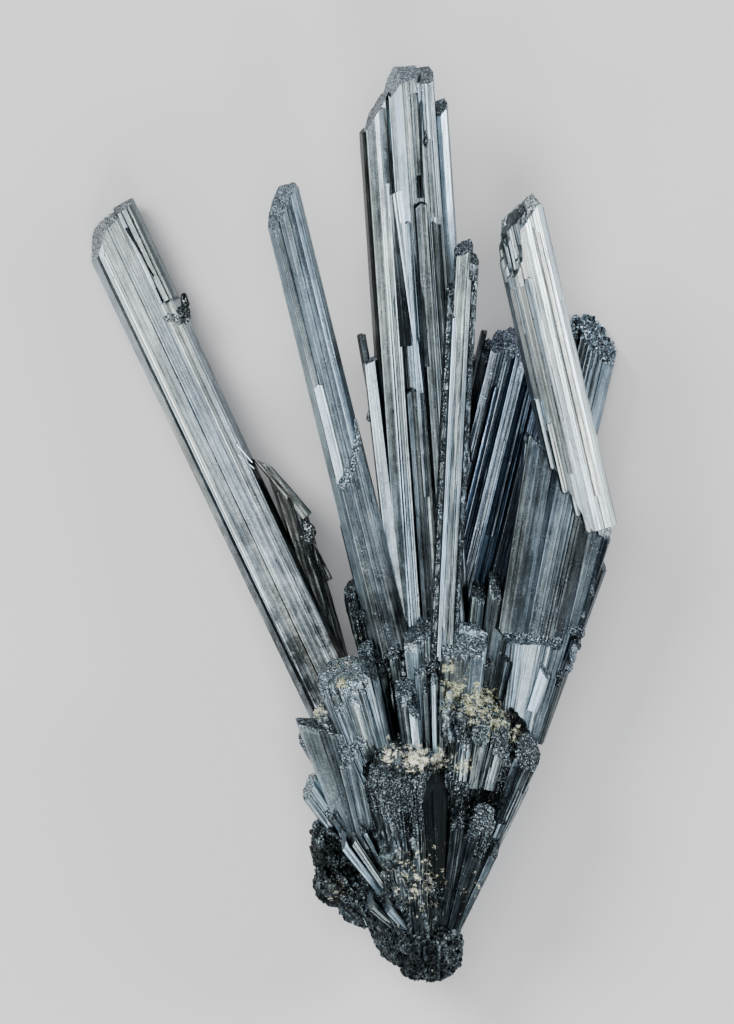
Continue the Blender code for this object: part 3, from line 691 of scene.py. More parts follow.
# --- Dark bundle ---
# Thin stibnite crystals behind, leaning right out of the root, whose sides have stayed mirror-black,
# with a few bright slips grown down their fronts.
dark_lead = Crystal(
    (2.6, 109.5, 30), (27, 210.9, 28), 6.5, 13, BLADE, (0.55, 0.54, 0.62, 0.45), ((0.3, 0.6, 0.87, 1),),
    etch=0.5,
)
to_right = ((0.4, 0.5, 0.87, 1),)
dark = [dark_lead] + [
    beside(dark_lead, *shape, etch=etch)
    for *shape, etch in (
        (-3.9, 0.5, 0.4, 103.6, 5.4, 12, SLAB, (0.45, 0.5, 0.6, 0.4), ((-0.3, 0.6, 0.87, 1),), 0.5),
        (-7, 0, 0.8, 99.6, 4.6, 12, BLADE, (0.25, 0.35, 0.4, 0.2), ((0.3, 0.6, 0.87, 1),), 0.5),
        (-9.6, 0.5, 20, 105.3, 2.2, 4, PENCIL, (0, 0.15, 0.3), LEVEL_TOP, 0.3),
        (-11.5, 0, 18, 96, 2.6, 6, PENCIL, (0.5, 0.6, 0.3), ((-0.3, 0.4, 0.87, 1),), 0.3),
        (4.8, -0.5, 1.2, 102, 6.2, 13, SLAB, (0.45, 0.5, 0.6, 0.4), to_right, 0.5),
        (9, -1.5, 10, 99, 5.4, 12, BLADE, (0.35, 0.45, 0.5, 0.4), to_right, 0.3),
        (13.4, -1, 0, 96, 6, 12, BLADE, (0.2, 0.38, 0.42, 0.3), to_right, 0.3),
        (16.4, -1, 0, 90, 5, 12, BLADE, (0.1, 0.35, 0.25, 0.15), to_right, 0.7, 0.3),
    )
]
# thin slips down the front: how far across, where they start and end, and their tone
for across, start, end, tone in (
    (-5.6, 44, 80, 0.5), (-1.8, 20, 88, 1.3), (-0.2, 2, 97, 0.5), (3.1, 42, 99, 0.4), (5.2, 30, 72, 0.5),
    (8.4, 40, 95, 0.35),
):
    shape = (across, 4.7, start, end, 0.9, 4.4, PENCIL, (0.3, tone, 0.4), POINTED_UP)
    dark.append(beside(dark_lead, *shape, etch=0.1))
dark += slips(dark_lead, 12, 111, (0.3, 0.5, 0.6), 0.05, 0.9, 0.1)
dark += slips(dark[5], 12, 112, (0.3, 0.45, 0.6), 0.05, 0.9, 0.1)
bundle("dark_bundle", dark, 600, black)

# --- Right bundle ---
# Broad stibnite crystals, bright and narrow where they leave the root, with a later duller layer
# grown on their front that breaks off in a granular step, and a crumbly crust down their right edge.
SHEET = ((0.6, 0, 0.8, 1), (0.1, 0.5, -0.86, 0.5))
LAYER = dict(frost=0.6, course=3, striae=0.045, etch=0.17)
slanted = ((0.5, 0.3, 0.81, 2),)
right = [
    Crystal(*shape)
    for shape in (
        (
            (29.3, 81.9, 34), (46.2, 166, 36), 14, 18, FLAT, (0.5, 0.74, 0.66, 0.4),
            ((0.6, 0.3, 0.74, 2),), 0.55,
        ),
        ((25.4, 88.4, 34), (36.1, 177.8, 35), 12, 16, FLAT, (0.6, 0.62, 0.75, 0.3), slanted, 0.6),
        ((33.5, 79.6, 32), (54.2, 152, 34), 13, 18, SLAB, (0.3, 0.5, 0.5, 0.3), slanted, 0.5),
        ((35.1, 79.6, 26), (55.2, 141, 26), 8.5, 14, BLADE, (0.3, 0.4, 0.3), ((0.5, 0.2, 0.84, 2),), 0.5),
    )
]
right += [
    Crystal(foot, tip, width, thickness, BLOCK, tones, SHEET, taper, **LAYER)
    for foot, tip, width, thickness, tones, taper in (
        ((26.6, 111, 39.6), (37.2, 175, 42.5), 12.6, 7, (0.2, 0.32, 0.28, 0.38, 0.4), 0.9),
        ((36.4, 110, 39.8), (47.6, 163, 43.2), 14.6, 7, (0.4, 0.4, 0.36, 0.42, 0.4), 0.85),
        ((45, 113, 38), (54.4, 151, 41), 9.4, 8, (0.4, 0.42, 0.38, 0.34, 0.2), 0.75),
    )
]
tablet_end = ((0.6, 0.3, 0.74, 1),)
right.append(  # a bright tablet on the front, near the root
    Crystal((33, 90, 40.9), (37.5, 104, 41.9), 4.5, 6.4, SLAB, (0.6, 1.1, 1.1, 0.6), tablet_end, 0.9)
)
right += slips(right[4], 8, 106, (0.3, 0.45), 0.1, 1, 0.05, sunk=1.5)
right += slips(right[5], 8, 108, (0.4, 0.55), 0.1, 1, 0.05, sunk=1.5)
right += slips(right[0], 6, 105, (0.3, 0.7), 0.1, 0.4, 0.15, sunk=1.5)
# the crust: lumps set along the edge, closer together towards its foot
LUMPS = 15
right_crusts = []
edge = np.random.default_rng(12)
for k in range(LUMPS):
    across = 1 - (1 - k / (LUMPS - 1)) ** 1.6
    spot = np.array((41 + 14 * across, 96 + 4.3 * k, 34 + 3 * across)) + edge.uniform(-1, 1, 3) * (0.9, 1, 3)
    radii = edge.uniform(0.7, 1.25, 3) * (2, 3.6, 3.6)
    right_crusts.append(crust(spot, radii, 50 + k, tone=edge.uniform(0.15, 0.7)))
bundle("right_bundle", right, 700, grey, right_crusts)

# --- Back bundle ---
# Lead-grey stibnite crystals behind the right side that lean down to the floor. Their ends are etched
# to a sparkle of small blunt crystals, which are strewn over the end faces.
def small_crystal(point):
    """The corners and faces of a small crystal, a millimetre across and long, drawn in to a blunt
    `point`."""
    bpy.ops.object.select_all(action="DESELECT")
    bpy.ops.mesh.primitive_cylinder_add(vertices=4, radius=0.5, depth=1, end_fill_type="NGON")
    made = bpy.context.object
    bpy.ops.object.mode_set(mode="EDIT")
    bpy.ops.mesh.select_all(action="DESELECT")
    bm = bmesh.from_edit_mesh(made.data)
    for face in bm.faces:
        face.select_set(face.normal.z > 0.9)
    bmesh.update_edit_mesh(made.data)
    bpy.ops.transform.resize(value=(point, point, 1))
    bpy.ops.object.mode_set(mode="OBJECT")
    corners = np.array([v.co for v in made.data.vertices])
    faces = [tuple(p.vertices) for p in made.data.polygons]
    bpy.data.objects.remove(made)
    return corners, faces


def rough_faces(hosts, rough):
    """Each face of the hosts: its centre, its normal, and how likely it is to carry a small crystal."""
    centre, normal, weight = [], [], []
    for host in hosts:
        polygons = host.data.polygons
        centre.append(read(polygons, "center", 3) / MM)
        normal.append(read(polygons, "normal", 3))
        etched = read(host.data.attributes["etched"].data, "value")
        least = np.minimum.reduceat(etched, read(polygons, "loop_start", kind=int))
        front = np.where(normal[-1][:, 2] > -0.2, 1, 0.4)
        weight.append(read(polygons, "area") * front * (least >= rough))
    return np.concatenate(centre), np.concatenate(normal), np.concatenate(weight)


def strewn(name, shape, hosts, count, seed, wide, long, rough, tone, source=None):
    """Copies of one small crystal strewn over the faces of the hosts that are at least `rough`, each
    pointing out of its face, or lying along it and away from `source`. `wide` and `long` are their
    least and greatest sizes, and `tone` how bright they are and how much that varies."""
    chance = np.random.default_rng(seed)
    centre, normal, weight = rough_faces(hosts, rough)
    if source:
        away = centre - np.array(PLACE + source)
        away /= np.linalg.norm(away, axis=1)[:, None]
        upright = (away * normal).sum(axis=1)
        along = away - upright[:, None] * normal
        x, y = centre[:, 0] - PLACE.x, centre[:, 1] - PLACE.y
        fibrous = (np.abs(upright) < 0.6) * (y > 22) * (x > -26) * (x < 15)
        weight = weight * fibrous
    chosen = chance.choice(len(centre), count, p=weight / weight.sum())
    spot = centre[chosen] - 0.3 * normal[chosen] * bool(source)
    way = (along if source else normal)[chosen] + chance.normal(0, 0.05 if source else 0.5, (count, 3))
    way /= np.linalg.norm(way, axis=1)[:, None]
    side = np.cross(way, chance.normal(0, 1, (count, 3)))
    side /= np.linalg.norm(side, axis=1)[:, None]
    across = chance.uniform(*wide, count)[:, None, None]
    reach = chance.uniform(*long, count)[:, None, None]
    corners, faces = shape
    x, y, z = (corners[None, :, k, None] for k in range(3))
    level = x * side[:, None] + y * np.cross(way, side)[:, None]
    place = spot[:, None] + across * level + reach * z * way[:, None]
    place[:, :, 2] = np.maximum(place[:, :, 2], LOWEST_GRAIN)
    mesh = bpy.data.meshes.new(name)
    size = len(corners)
    copies = [tuple(v + i * size for v in f) for i in range(count) for f in faces]
    mesh.from_pydata(place.reshape(-1, 3) * MM, [], copies)
    made = bpy.data.objects.new(name, mesh)
    bpy.context.collection.objects.link(made)
    shade = np.repeat(np.clip(chance.normal(*tone, count), 0, 1.2), len(faces))
    stria = np.tile(corners * 0.5, (count, 1)) + np.repeat(chance.uniform(0, 50, (count, 3)), size, axis=0)
    used = read(mesh.loops, "vertex_index", kind=int)
    mark(mesh, stria[used], np.zeros(len(used)), shade)
    return made


back_lead = Crystal(
    (29.3, 109.5, 22), (54, 213.5, 5.6), 10.5, 12, BLADE, (0.1, 0.26, 0.32, 0.26, 0.8, 0.8, 0.8, 0.8),
    ((0.4, 0.8, 0.73, 0.5),), etch=0.5,
)
back = [
    back_lead,
    beside(
        back_lead, 6.2, -0.5, 0.6, 103, 5.6, 10, SLAB, (0, 0.6, 0.6, 0.3), ((0.4, 0.8, 0.77, 0),), etch=0.5,
    ),
    beside(back_lead, -6, 0, 0.3, 108.6, 5, 10, PENCIL, (0, 0.1, 0.1), ((0.2, 0.8, 0.81, 0),), etch=0.5),
]
back += slips(back_lead, 8, 109, (0.2, 0.5, 0.8), 0.3, 0.95, 0.2)
back_bundle = bundle("back_bundle", back, 800, grey)
grain = small_crystal(0.5)
sparkle = strewn("back_bundle_grains", grain, [back_bundle], 900, 8, (0.4, 1), (0.4, 0.9), 0.95, (0.75, 0.35))
dress(sparkle, grey)

# --- Leaning blade ---
# A stout silvery crystal of stibnite, broken from its seat and grown fast across the right bundle. Its
# tip is broken back on the left into small blocks, and its foot is a row of pointed fingers in a crust.
LEANING_ROOF = (
    (-1, -0.1), (-0.86, 0.42), (-0.6, 0.7), (-0.42, 0.84), (-0.24, 0.9), (0.2, 1), (0.8, 0.66), (1, 0),
    (0.7, -0.7), (0, -1), (-0.7, -0.7),
)
leaning_lead = Crystal(
    (51.5, 148.8, 42.8), (26, 257.4, 59), 17.7, 13, LEANING_ROOF,
    (0.7, 0.92, 0.98, 0.7, 0.9, 1.04, 0.96, 0.7),
    (
        (-0.5, 0.6, 0.8, 7), (-0.5, 0, 0.88, 6.1), (0.83, 0.1, 0.52, -7), (-0.96, 0.1, 0.3, -5.6),
        (-0.95, 0, -0.3, 2.6),
    ),
    1.04, pitch=0.36, striae=0.08, etch=0.4, hollows=((-4.6, 5, 4.6, 10),),
)
leaning = [
    leaning_lead,
    *(
        Crystal(*shape, POINTED_UP)
        for shape in (
            ((47.5, 168, 45), (48.4, 156.5, 43.4), 4, 6, PENCIL, (0.5, 0.9, 0.7)),
            ((53, 163, 45.5), (54.8, 153.8, 43.6), 4.5, 6, SLAB, (0.5, 0.8, 0.9)),
            ((50.5, 166, 48), (51.2, 152, 46.4), 3.6, 5, PENCIL, (0.3, 0.95, 0.7)),
            ((46.2, 168, 48.6), (47.9, 154, 46.6), 1.6, 3, PENCIL, (0.1, 0.05, 0.3)),
        )
    ),
    beside(leaning_lead, -1.2, 5.4, 20, 86, 3.6, 4, ROOF, (0.6, 0.9, 0.85, 0.8), POINTED_UP),
    beside(leaning_lead, 4.4, 4.2, 11, 100, 3, 4, ROOF, (0.5, 0.9, 0.9, 0.7), ((0.8, 0.1, 0.58, 0),)),
]
# small blocks left standing around the hollow of the broken tip: their place, end, size, length and tone
for across, forward, end, size, long, tone in (
    (-7.2, 2.4, 94.0, 2.6, 9, 0.9), (-6.8, 3.6, 91.0, 2.2, 6, 1.0), (-7, 1.4, 97.0, 2.2, 12, 0.6),
    (-6.2, 4.4, 88.5, 2.6, 6, 1.1), (-4.2, 5, 89.0, 3.4, 6, 0.95), (-3.2, 4.4, 92.5, 2, 8, 0.8),
    (-5.2, 2.2, 100.6, 2.6, 12, 0.5), (-2.8, 2.6, 103.8, 3.2, 12, 1.0), (-0.6, 3.4, 105.0, 2.8, 9, 0.7),
    (-4.4, 1, 99.0, 2.4, 8, 0.2), (1.6, 2.6, 106.4, 2.4, 9, 0.9),
):
    tones = (tone * 0.5, tone, tone * 0.9, tone * 0.5, 0.3)
    shape = (across, forward, end - long, end, size, size * 1.3, BLOCK, tones, ((-0.5, 0.6, 0.6, 0),))
    leaning.append(beside(leaning_lead, *shape, turn_by=across * 3, etch=0.1))
# the fingers at the foot: how far across, where they start, and their width
FINGER_ENDS = ((-0.5, 0.2, -0.6, 0), (0.6, 0.2, -0.6, 0), (0, 0, 1, 0))
for across, start, size in ((-7.2, 22, 2), (-5, 13.5, 2.8), (-2.6, 5, 2.4), (-0.4, -1, 3), (3.4, -3, 3.4)):
    shape = (across, 3.4, start, start + 24, size, 5, PENCIL, (0.4, 0.95, 0.7), FINGER_ENDS)
    leaning.append(beside(leaning_lead, *shape))
leaning += slips(leaning_lead, 16, 107, (0.6, 0.85, 0.95, 1.05), 0.28, 0.88, 0.12, sunk=0.8)
leaning_crusts = [
    crust((51.5, 152, 43.6), (3.4, 3, 3), 60, tone=0.6),
    crust((56, 148.6, 42), (2.8, 3, 3), 61, tone=0.75),
    crust((29.4, 250.6, 57), (3.2, 2.4, 3.4), 62, 3, 0.6),
]
bundle("leaning_blade", leaning, 900, bright, leaning_crusts)

# --- Root ---
# Stubs of grey stibnite crystals that were broken or etched short, grown together into one cone over
# a crumbly core that holds the whole spray. Fine needles and grains fill the gaps, and small crusts of
# cream and ochre oxide lie on the front.
FAN_ORIGIN = Vector((3.0, 6.0, 27.0))
FIBRE_ORIGIN = Vector((3.0, -8.0, 27.0))
NEEDLE_ORIGIN = Vector((3.0, -12.0, 27.0))
ETCHED_TOP = ((0, 0.7, 0.83, 2),)
LEFT_TOP = ((-0.35, 0.5, 0.8, 2),)
RIGHT_TOP = ((0.4, 0.5, 0.77, 2),)
SLANT = ((-0.5, 0.2, 0.8, 1),)
WIDE = ((-1, -0.3), (-0.92, 0.75), (-0.3, 0.86), (0.35, 1), (0.9, 0.84), (1, -0.2), (0.5, -1), (-0.5, -1))
DOME = (
    (-1, -0.2), (-0.85, 0.5), (-0.5, 0.86), (0, 1), (0.5, 0.88), (0.88, 0.5), (1, -0.2), (0.6, -1),
    (-0.6, -1),
)
CLEAN = dict(crumble=0, frost=0)
SHARP = dict(crumble=0, frost=0, etch=0.1)
# the oxide's crusts: each one's place on the front, its reach, how ochre it is and how thick
OXIDE = (
    ((-12.5, 76.5), 4.5, 0.0, 1), ((-4.6, 75), 6, 0.1, 1.1), ((2.4, 75), 4, 0.1, 1.1), ((8, 97), 8, 0.9, 0.9),
    ((15, 93), 9, 0.85, 1), ((21.5, 87.5), 6.5, 0.8, 0.9), ((27, 82.5), 4, 0.6, 0.8),
    ((10.5, 73), 4, 0.7, 0.9), ((-37, 90), 4, 0.7, 1), ((-29, 99), 3, 1.0, 0.9), ((-28, 106), 7, 0.6, 0.6),
    ((6, 104), 4, 0.8, 0.8), ((-5, 35), 13, 0.3, 0.62), ((-31, 30), 7, 0.2, 0.5), ((15, 33), 6, 0.4, 0.5),
)
FRONT = 34  # the oxide lies on what stands higher than this


def stub(tip, *shape, start=0.3, **more):
    """A crystal that radiates from the origin of the fan and widens towards its tip. `shape` is its width
    and what follows that in a Crystal."""
    way = Vector(tip) - FAN_ORIGIN
    more = {"etch": 0.22, "striae": 0.16, "pitch": 0.45, "crumble": 0.2, "course": 2, "frost": 3, **more}
    return Crystal(FAN_ORIGIN + way * start, Vector(tip), *shape, **more)


def add_oxide(piece):
    """Marks how much oxide each corner of the piece carries, and how ochre it is."""
    place = read(piece.data.vertices, "co", 3) / MM - np.array(PLACE)
    oxide = np.zeros((len(place), 3))
    for spot, reach, hue, thick in OXIDE:
        much = np.clip(1.3 - np.linalg.norm(place[:, :2] - np.array(spot), axis=1) / reach, 0, 1)
        much *= thick * (place[:, 2] > FRONT)
        oxide[much > oxide[:, 0], 1] = hue
        oxide[:, 0] = np.maximum(oxide[:, 0], much)
    piece.data.attributes.new("oxide", "FLOAT_VECTOR", "POINT").data.foreach_set("vector", oxide.ravel())


left_stubs = [
    # the striated block at the upper left, with bright prisms down its right side
    stub(
        (-28.5, 105, 46), 17, 18, WIDE, (0.3, 0.6, 0.66, 0.74, 0.62, 1, 1, 1), ((0.05, 0.3, 0.95, 1.6),),
        0.5, frost=5,
    ),
    stub((-34, 101, 43), 7, 13, FLAT, (0.3, 0.55, 0.64, 0.5, 0.6), ((-0.3, 0.3, 0.9, 0),), 0.6, frost=3),
    stub((-30.6, 95, 49.6), 4.6, 7, FLAT, (0.3, 0.7, 0.6, 0.5, 0.6), ((-0.2, 0.5, 0.8, 1),), 0.6, frost=2),
    stub((-26.4, 97.5, 50.6), 3.6, 7, FLAT, (0.3, 0.6, 0.76, 0.5, 0.6), ((0.2, 0.5, 0.8, 1),), 0.6, frost=2),
    stub((-23.6, 101, 50.6), 2.6, 7, FLAT, (0.1, 0.4, 0.6, 0.2, 0.6), ((0.2, 0.5, 0.8, 1),), 0.6, frost=1),
    stub((-21.6, 106.5, 49), 2.8, 10, SLAB, (0.2, 1.05, 0.8, 0.4), ((0.5, 0.5, 0.7, 1),), 0.6, frost=0),
    stub((-18.8, 105, 49.6), 2.4, 9, SLAB, (0, 0.6, 1, 0.3), ((0.6, 0.5, 0.6, 1),), 0.6, frost=0),
    stub((-16.2, 103, 47.4), 3.4, 9, BLADE, (0, 0.3, 0.2, 0.2), POINTED_UP, 0.6, **CLEAN),
    # the crust between it and the blade below
    stub((-36.5, 91, 40), 6, 8, BLOCK, (0.2, 0.5, 0.5, 0.4), LEFT_TOP, 0.6, frost=4),
    stub((-27, 84, 47), 12, 12, BLOCK, (0.3, 0.5, 0.46, 0.54, 0.3), LEFT_TOP, 0.5, frost=3),
    # the smooth blade below it, down the left edge
    Crystal(
        (-21.5, 44, 36), (-34.4, 86, 40.5), 17, 14, WIDE, (0.6, 0.48, 0.36, 0.58, 0.2),
        ((0.5, 0.1, 0.86, 1),), 0.7, pitch=0.4, striae=0.05, etch=0.2, frost=1, crumble=0.1, course=3,
    ),
    Crystal(
        (-20, 46, 40), (-27, 77, 46), 8, 9, FLAT, (0.2, 0.6, 0.66, 0.2), ((-0.4, 0.2, 0.9, 1),), 0.8,
        pitch=0.4, striae=0.12, etch=0.2, frost=2, crumble=0.2, course=2,
    ),
    stub((-42, 83, 36), 5, 8, BLADE, (0.4, 0.5, 0.3), LEFT_TOP, 0.5, crumble=0, striae=0.06, frost=2),
    stub((-40, 66, 37), 8, 8, SLAB, (0.5, 0.74, 0.82, 0.6), SLANT, 0.7, crumble=0.1, frost=0, etch=0.2),
    stub((-34, 61, 40), 6, 8, SLAB, (0.2, 0.35, 0.3, 0.3), LEFT_TOP, 0.6, frost=2),
    stub((-28.6, 48.6, 46.6), 3.2, 6, SLAB, (0.3, 0.66, 0.74, 0.2), SLANT, 0.5, -20, **SHARP),
    stub((-25.6, 49.6, 47.6), 2.8, 5, SLAB, (0, 0.5, 0.6, 0.2), SLANT, 0.5, -10, **SHARP),
    stub((-22, 52, 48.6), 2.6, 5, PENCIL, (0, 0.5, 0.3), POINTED_UP, 0.7, **CLEAN),
    stub((-20, 29, 46), 3.6, 6, SLAB, (0.2, 0.6, 0.5, 0.1), SLANT, 0.5, -20, **SHARP, start=0.4),
    stub((-14.6, 28, 48.4), 3.4, 5, SLAB, (0.2, 0.75, 0.6, 0.1), SLANT, 0.5, -10, **SHARP, start=0.4),
    # the columns between the feet of the left and slender blades
    stub((-26, 132, 36), 6, 8, BLADE, (0, 0.3, 0.1), LEFT_TOP, 0.5, crumble=0.8, worn=(1, 2)),
    stub((-22.5, 124, 38), 6, 7, BLADE, (0, 0.1, 0.2), POINTED_UP, 0.5, crumble=0.8, worn=(1,)),
    stub((-21.5, 113, 42), 6, 7, BLADE, (0.1, 0.4, 0.3), LEFT_TOP, 0.5, crumble=0.8, frost=5),
]
middle_stubs = [
    # the column between the blades' feet, and the granular one below it
    stub((-5.8, 117, 47), 7, 12, WIDE, (0.2, 0.66, 0.8, 0.6, 0.5), ((-0.2, 0.3, 0.9, 2),), 0.6, frost=3),
    stub((-1.6, 119, 46), 6, 12, SLAB, (0.2, 0.55, 0.66, 0.6, 0.5), ((0, 0.4, 0.9, 1),), 0.6, frost=2),
    stub((-8.6, 101, 51), 7.8, 12, BLOCK, (0.1, 0.54, 0.6, 0.4), ((0, 0.3, 0.9, 2),), 0.5, frost=6),
    stub((-3.6, 108, 50), 4.4, 10, FLAT, (0.1, 0.7, 0.5, 0.2), LEFT_TOP, 0.5, frost=1),
    stub((-12.4, 112, 46), 5, 9, BLADE, (0.1, 0.4, 0.3), LEFT_TOP, 0.5, frost=1),
    stub((-5.5, 92, 55.4), 4, 6, SLAB, (0.2, 0.9, 0.8, 0.3), ((0.6, 0.5, 0.6, 1),), 0.7, frost=0),
    # the stub with the flat top, and a thin bright sheet along its top edge whose tones are a painted
    # highlight on the rim
    stub(
        (11.2, 117, 53), 15.6, 14, FLAT, (0.42, 0.47, 0.4, 0.8, 1, 1, 1), ((0, 0.5, 0.84, 4),), 0.5,
        frost=0.8, etch=0.18,
    ),
    stub(
        (11.2, 117, 49.6), 15.4, 2.4, FLAT, (0.6, 1, 1.1, 0.6), ((0.1, 0.5, 0.9, 0),), 0.5, frost=1,
        start=0.8, crumble=1, etch=0.6, course=1,
    ),
    stub((23, 122, 38), 8, 12, SLAB, (0.1, 0.25, 0.3, 0.2), RIGHT_TOP, 0.6, **CLEAN),
    stub((26, 112, 36), 6, 12, SLAB, (0.1, 0.2, 0.15, 0.2), RIGHT_TOP, 0.6, **CLEAN),
    # the front of the dome: granular above and fibrous below
    Crystal(
        (-4, 18, 38), (-9.6, 79, 50.5), 30, 19, DOME, (0.2, 0.24, 0.27, 0.24, 0.2, 0.2),
        ((0, 0.6, 0.76, 3), (0, 0.95, 0.3, -11.3), (-0.6, 0.3, 0.6, -5)), 0.42,
        pitch=0.4, striae=0.3, etch=0.3, crumble=1, course=1, frost=12,
    ),
    stub((16.6, 112, 51), 4, 12, SLAB, (0.1, 0.6, 0.5, 0.3), RIGHT_TOP, 0.5, frost=2),
    stub((16, 131, 42), 5, 8, SLAB, (0.3, 0.55, 0.4), RIGHT_TOP, 0.6, crumble=0, frost=1.5),
    stub(
        (21.4, 132, 42), 5.4, 8, ROOF, (0.2, 0.55, 0.6, 0.4), ((0.7, 0.4, 0.6, 1),), 0.6, crumble=0,
        frost=1.5,
    ),
    # thin bright prisms that stand in the hollow above the dome
    *(
        stub(tip, width, 6, SLAB, tones, POINTED_UP, 0.7, striae=0.05, **CLEAN)
        for tip, width, tones in (
            ((-1.6, 98, 55), 2.2, (0.2, 0.5, 0.7, 0.3)), ((1.2, 101, 56.4), 2.4, (0.2, 1, 1, 0.3)),
            ((3.8, 100, 56.4), 2, (0.1, 0.6, 0.3, 0.1)), ((6.2, 99, 56), 2.6, (0.2, 0.8, 0.6, 0.2)),
        )
    ),
    # the dark spear on the front of the dome
    stub(
        (1.4, 69.6, 60.5), 9.2, 8, FLAT, (-0.1, -0.12, -0.16, -0.1),
        ((-0.85, 0.1, 0.4, 0), (0.85, 0.1, 0.4, -1)), 0.5, striae=0.03, **SHARP,
    ),
    stub((9, 56, 55), 5, 8, FLAT, (0.1, 0.2, 0.14, 0.1), POINTED_UP, 0.6, frost=0, striae=0.06),
    stub((13.5, 53, 54), 5, 8, FLAT, (0.1, 0.16, 0.24, 0.1), POINTED_UP, 0.6, frost=0, striae=0.06),
]
right_stubs = [
    # prisms above the hollow on the right, which the mass below paints black as shade
    stub((11.4, 87, 57.6), 6, 10, FLAT, (0.1, 0.36, 0.5, 0.1), RIGHT_TOP, 0.8, frost=2, start=0.74),
    stub((17, 88, 56.4), 7, 12, BLOCK, (0.1, 0.4, 0.34, 0.46, 0.1), RIGHT_TOP, 0.8, frost=2, start=0.74),
    stub((23.4, 85, 52.8), 6.4, 12, FLAT, (0.1, 0.36, 0.46, 0.1), RIGHT_TOP, 0.8, frost=2, start=0.76),
    stub((32, 79, 46), 8, 12, SLAB, (0.4, 0.16, 0.26, 0.3), RIGHT_TOP, 0.5, frost=1, striae=0.08),
    stub((34.6, 76, 42), 4, 10, BLADE, (0.3, 0.2, 0.3), RIGHT_TOP, 0.5, frost=1, striae=0.08),
    # the light fine prisms down the right edge
    stub((28.4, 68, 43), 4.4, 10, FLAT, (0.1, 0.52, 0.4, 0.3), POINTED_UP, 0.5, **CLEAN),
    stub((30.4, 66, 39), 4, 10, BLADE, (0.1, 0.5, 0.6), POINTED_UP, 0.5, **CLEAN),
    stub((25.4, 60, 42), 4, 10, FLAT, (0, 0.15, 0.46, 0.1), ETCHED_TOP, 0.5, **CLEAN),
    stub((21.2, 51, 44), 4, 9, FLAT, (0, 0.1, 0.5, 0.1), ETCHED_TOP, 0.6, **CLEAN),
    # the granular lump below the hollow, and the dark prisms under it
    stub((17.4, 58, 52), 8, 9, BLOCK, (0, 0.36, 0.34, 0.3), ETCHED_TOP, 0.6, frost=7, start=0.6),
    stub((15.8, 50, 50.4), 8, 9, FLAT, (0, 0.1, 0.06, 0.1), RIGHT_TOP, 0.6, crumble=0, frost=1, striae=0.06),
    stub((20.4, 46, 46), 5, 8, FLAT, (0, 0.06, 0.2, 0.1), POINTED_UP, 0.6, **CLEAN, striae=0.06),
]
# the stubs on the back, some of which the spray rests on: their tip, width, thickness and outline
back_stubs = [
    stub(*shape, (), ((0.1, -0.5, 0.85, 2),), 0.5, pitch=0.7, course=3)
    for shape in (
        ((-24, 92, 17), 15, 12, BLOCK), ((-9, 112, 16), 13, 11, SLAB), ((5, 126, 18), 12, 10, BLOCK),
        ((18, 102, 15), 14, 12, SLAB), ((29, 84, 22), 13, 13, BLOCK), ((-14, 76, 2.6), 17, 15, BLOCK),
        ((14, 72, 2.6), 17, 15, BLOCK), ((1, 60, 0.5), 11, 9, SLAB), ((-28, 62, 18), 11, 10, BLADE),
    )
]
# what has grown into one crumbly mass: lumps, each a centre and radii, and stubs that have lost their
# faces, each a tip, a width, a thickness and its end
lumps = (
    ((-6, 38, 27), (17.5, 31, 19.5)), ((-0.8, 13.6, 27), (11.4, 12, 13)), ((5.6, 62, 27), (18.4, 20, 22)),
    ((-15, 70, 28), (19, 19, 20)), ((-31, 47, 31), (8, 9, 10)), ((-31, 35, 30), (6.5, 9, 8)),
    ((-22, 27, 31), (8, 7, 9)), ((-1, 104, 36), (22, 10, 12)), ((-8, 74, 52), (10, 5, 6)),
    ((-8, 56, 38), (13, 22, 12.5)), ((7, 46, 34), (11, 20, 10)),
)
crumbly_stubs = [
    stub(tip, width, thickness, BLOCK, (), (end,), taper, crumble=0.8)
    for tip, width, thickness, end, taper in (
        ((-6.5, 76, 44), 22, 22, (0, 0.6, 0.76, 3), 0.45), ((10.5, 97, 53), 16, 14, (0.3, 0.6, 0.7, 1), 0.45),
        ((20, 88.5, 50), 15, 15, (0.6, 0.6, 0.7, 1), 0.45),
        ((28.5, 81.5, 45), 12, 14, (0.5, 0.6, 0.7, 1), 0.45), ((9, 72, 54), 9, 11, (0, 0.7, 0.83, 2), 0.4),
    )
]
SKIN_CELL = 0.58  # the size of the squares that the mass's skin is made of


def only_outer_skin(whole):
    """Takes out any bubble that is sealed inside the piece."""
    height = read(whole.data.vertices, "co", 3)[:, 2]
    bpy.ops.object.mode_set(mode="EDIT")
    bpy.ops.mesh.select_all(action="DESELECT")
    bpy.ops.object.mode_set(mode="OBJECT")
    whole.data.vertices[int(np.argmax(height))].select = True
    bpy.ops.object.mode_set(mode="EDIT")
    bpy.ops.mesh.select_mode(type="VERT")
    bpy.ops.mesh.select_linked()
    bpy.ops.mesh.select_all(action="INVERT")
    bpy.ops.mesh.delete(type="VERT")
    bpy.ops.object.mode_set(mode="OBJECT")


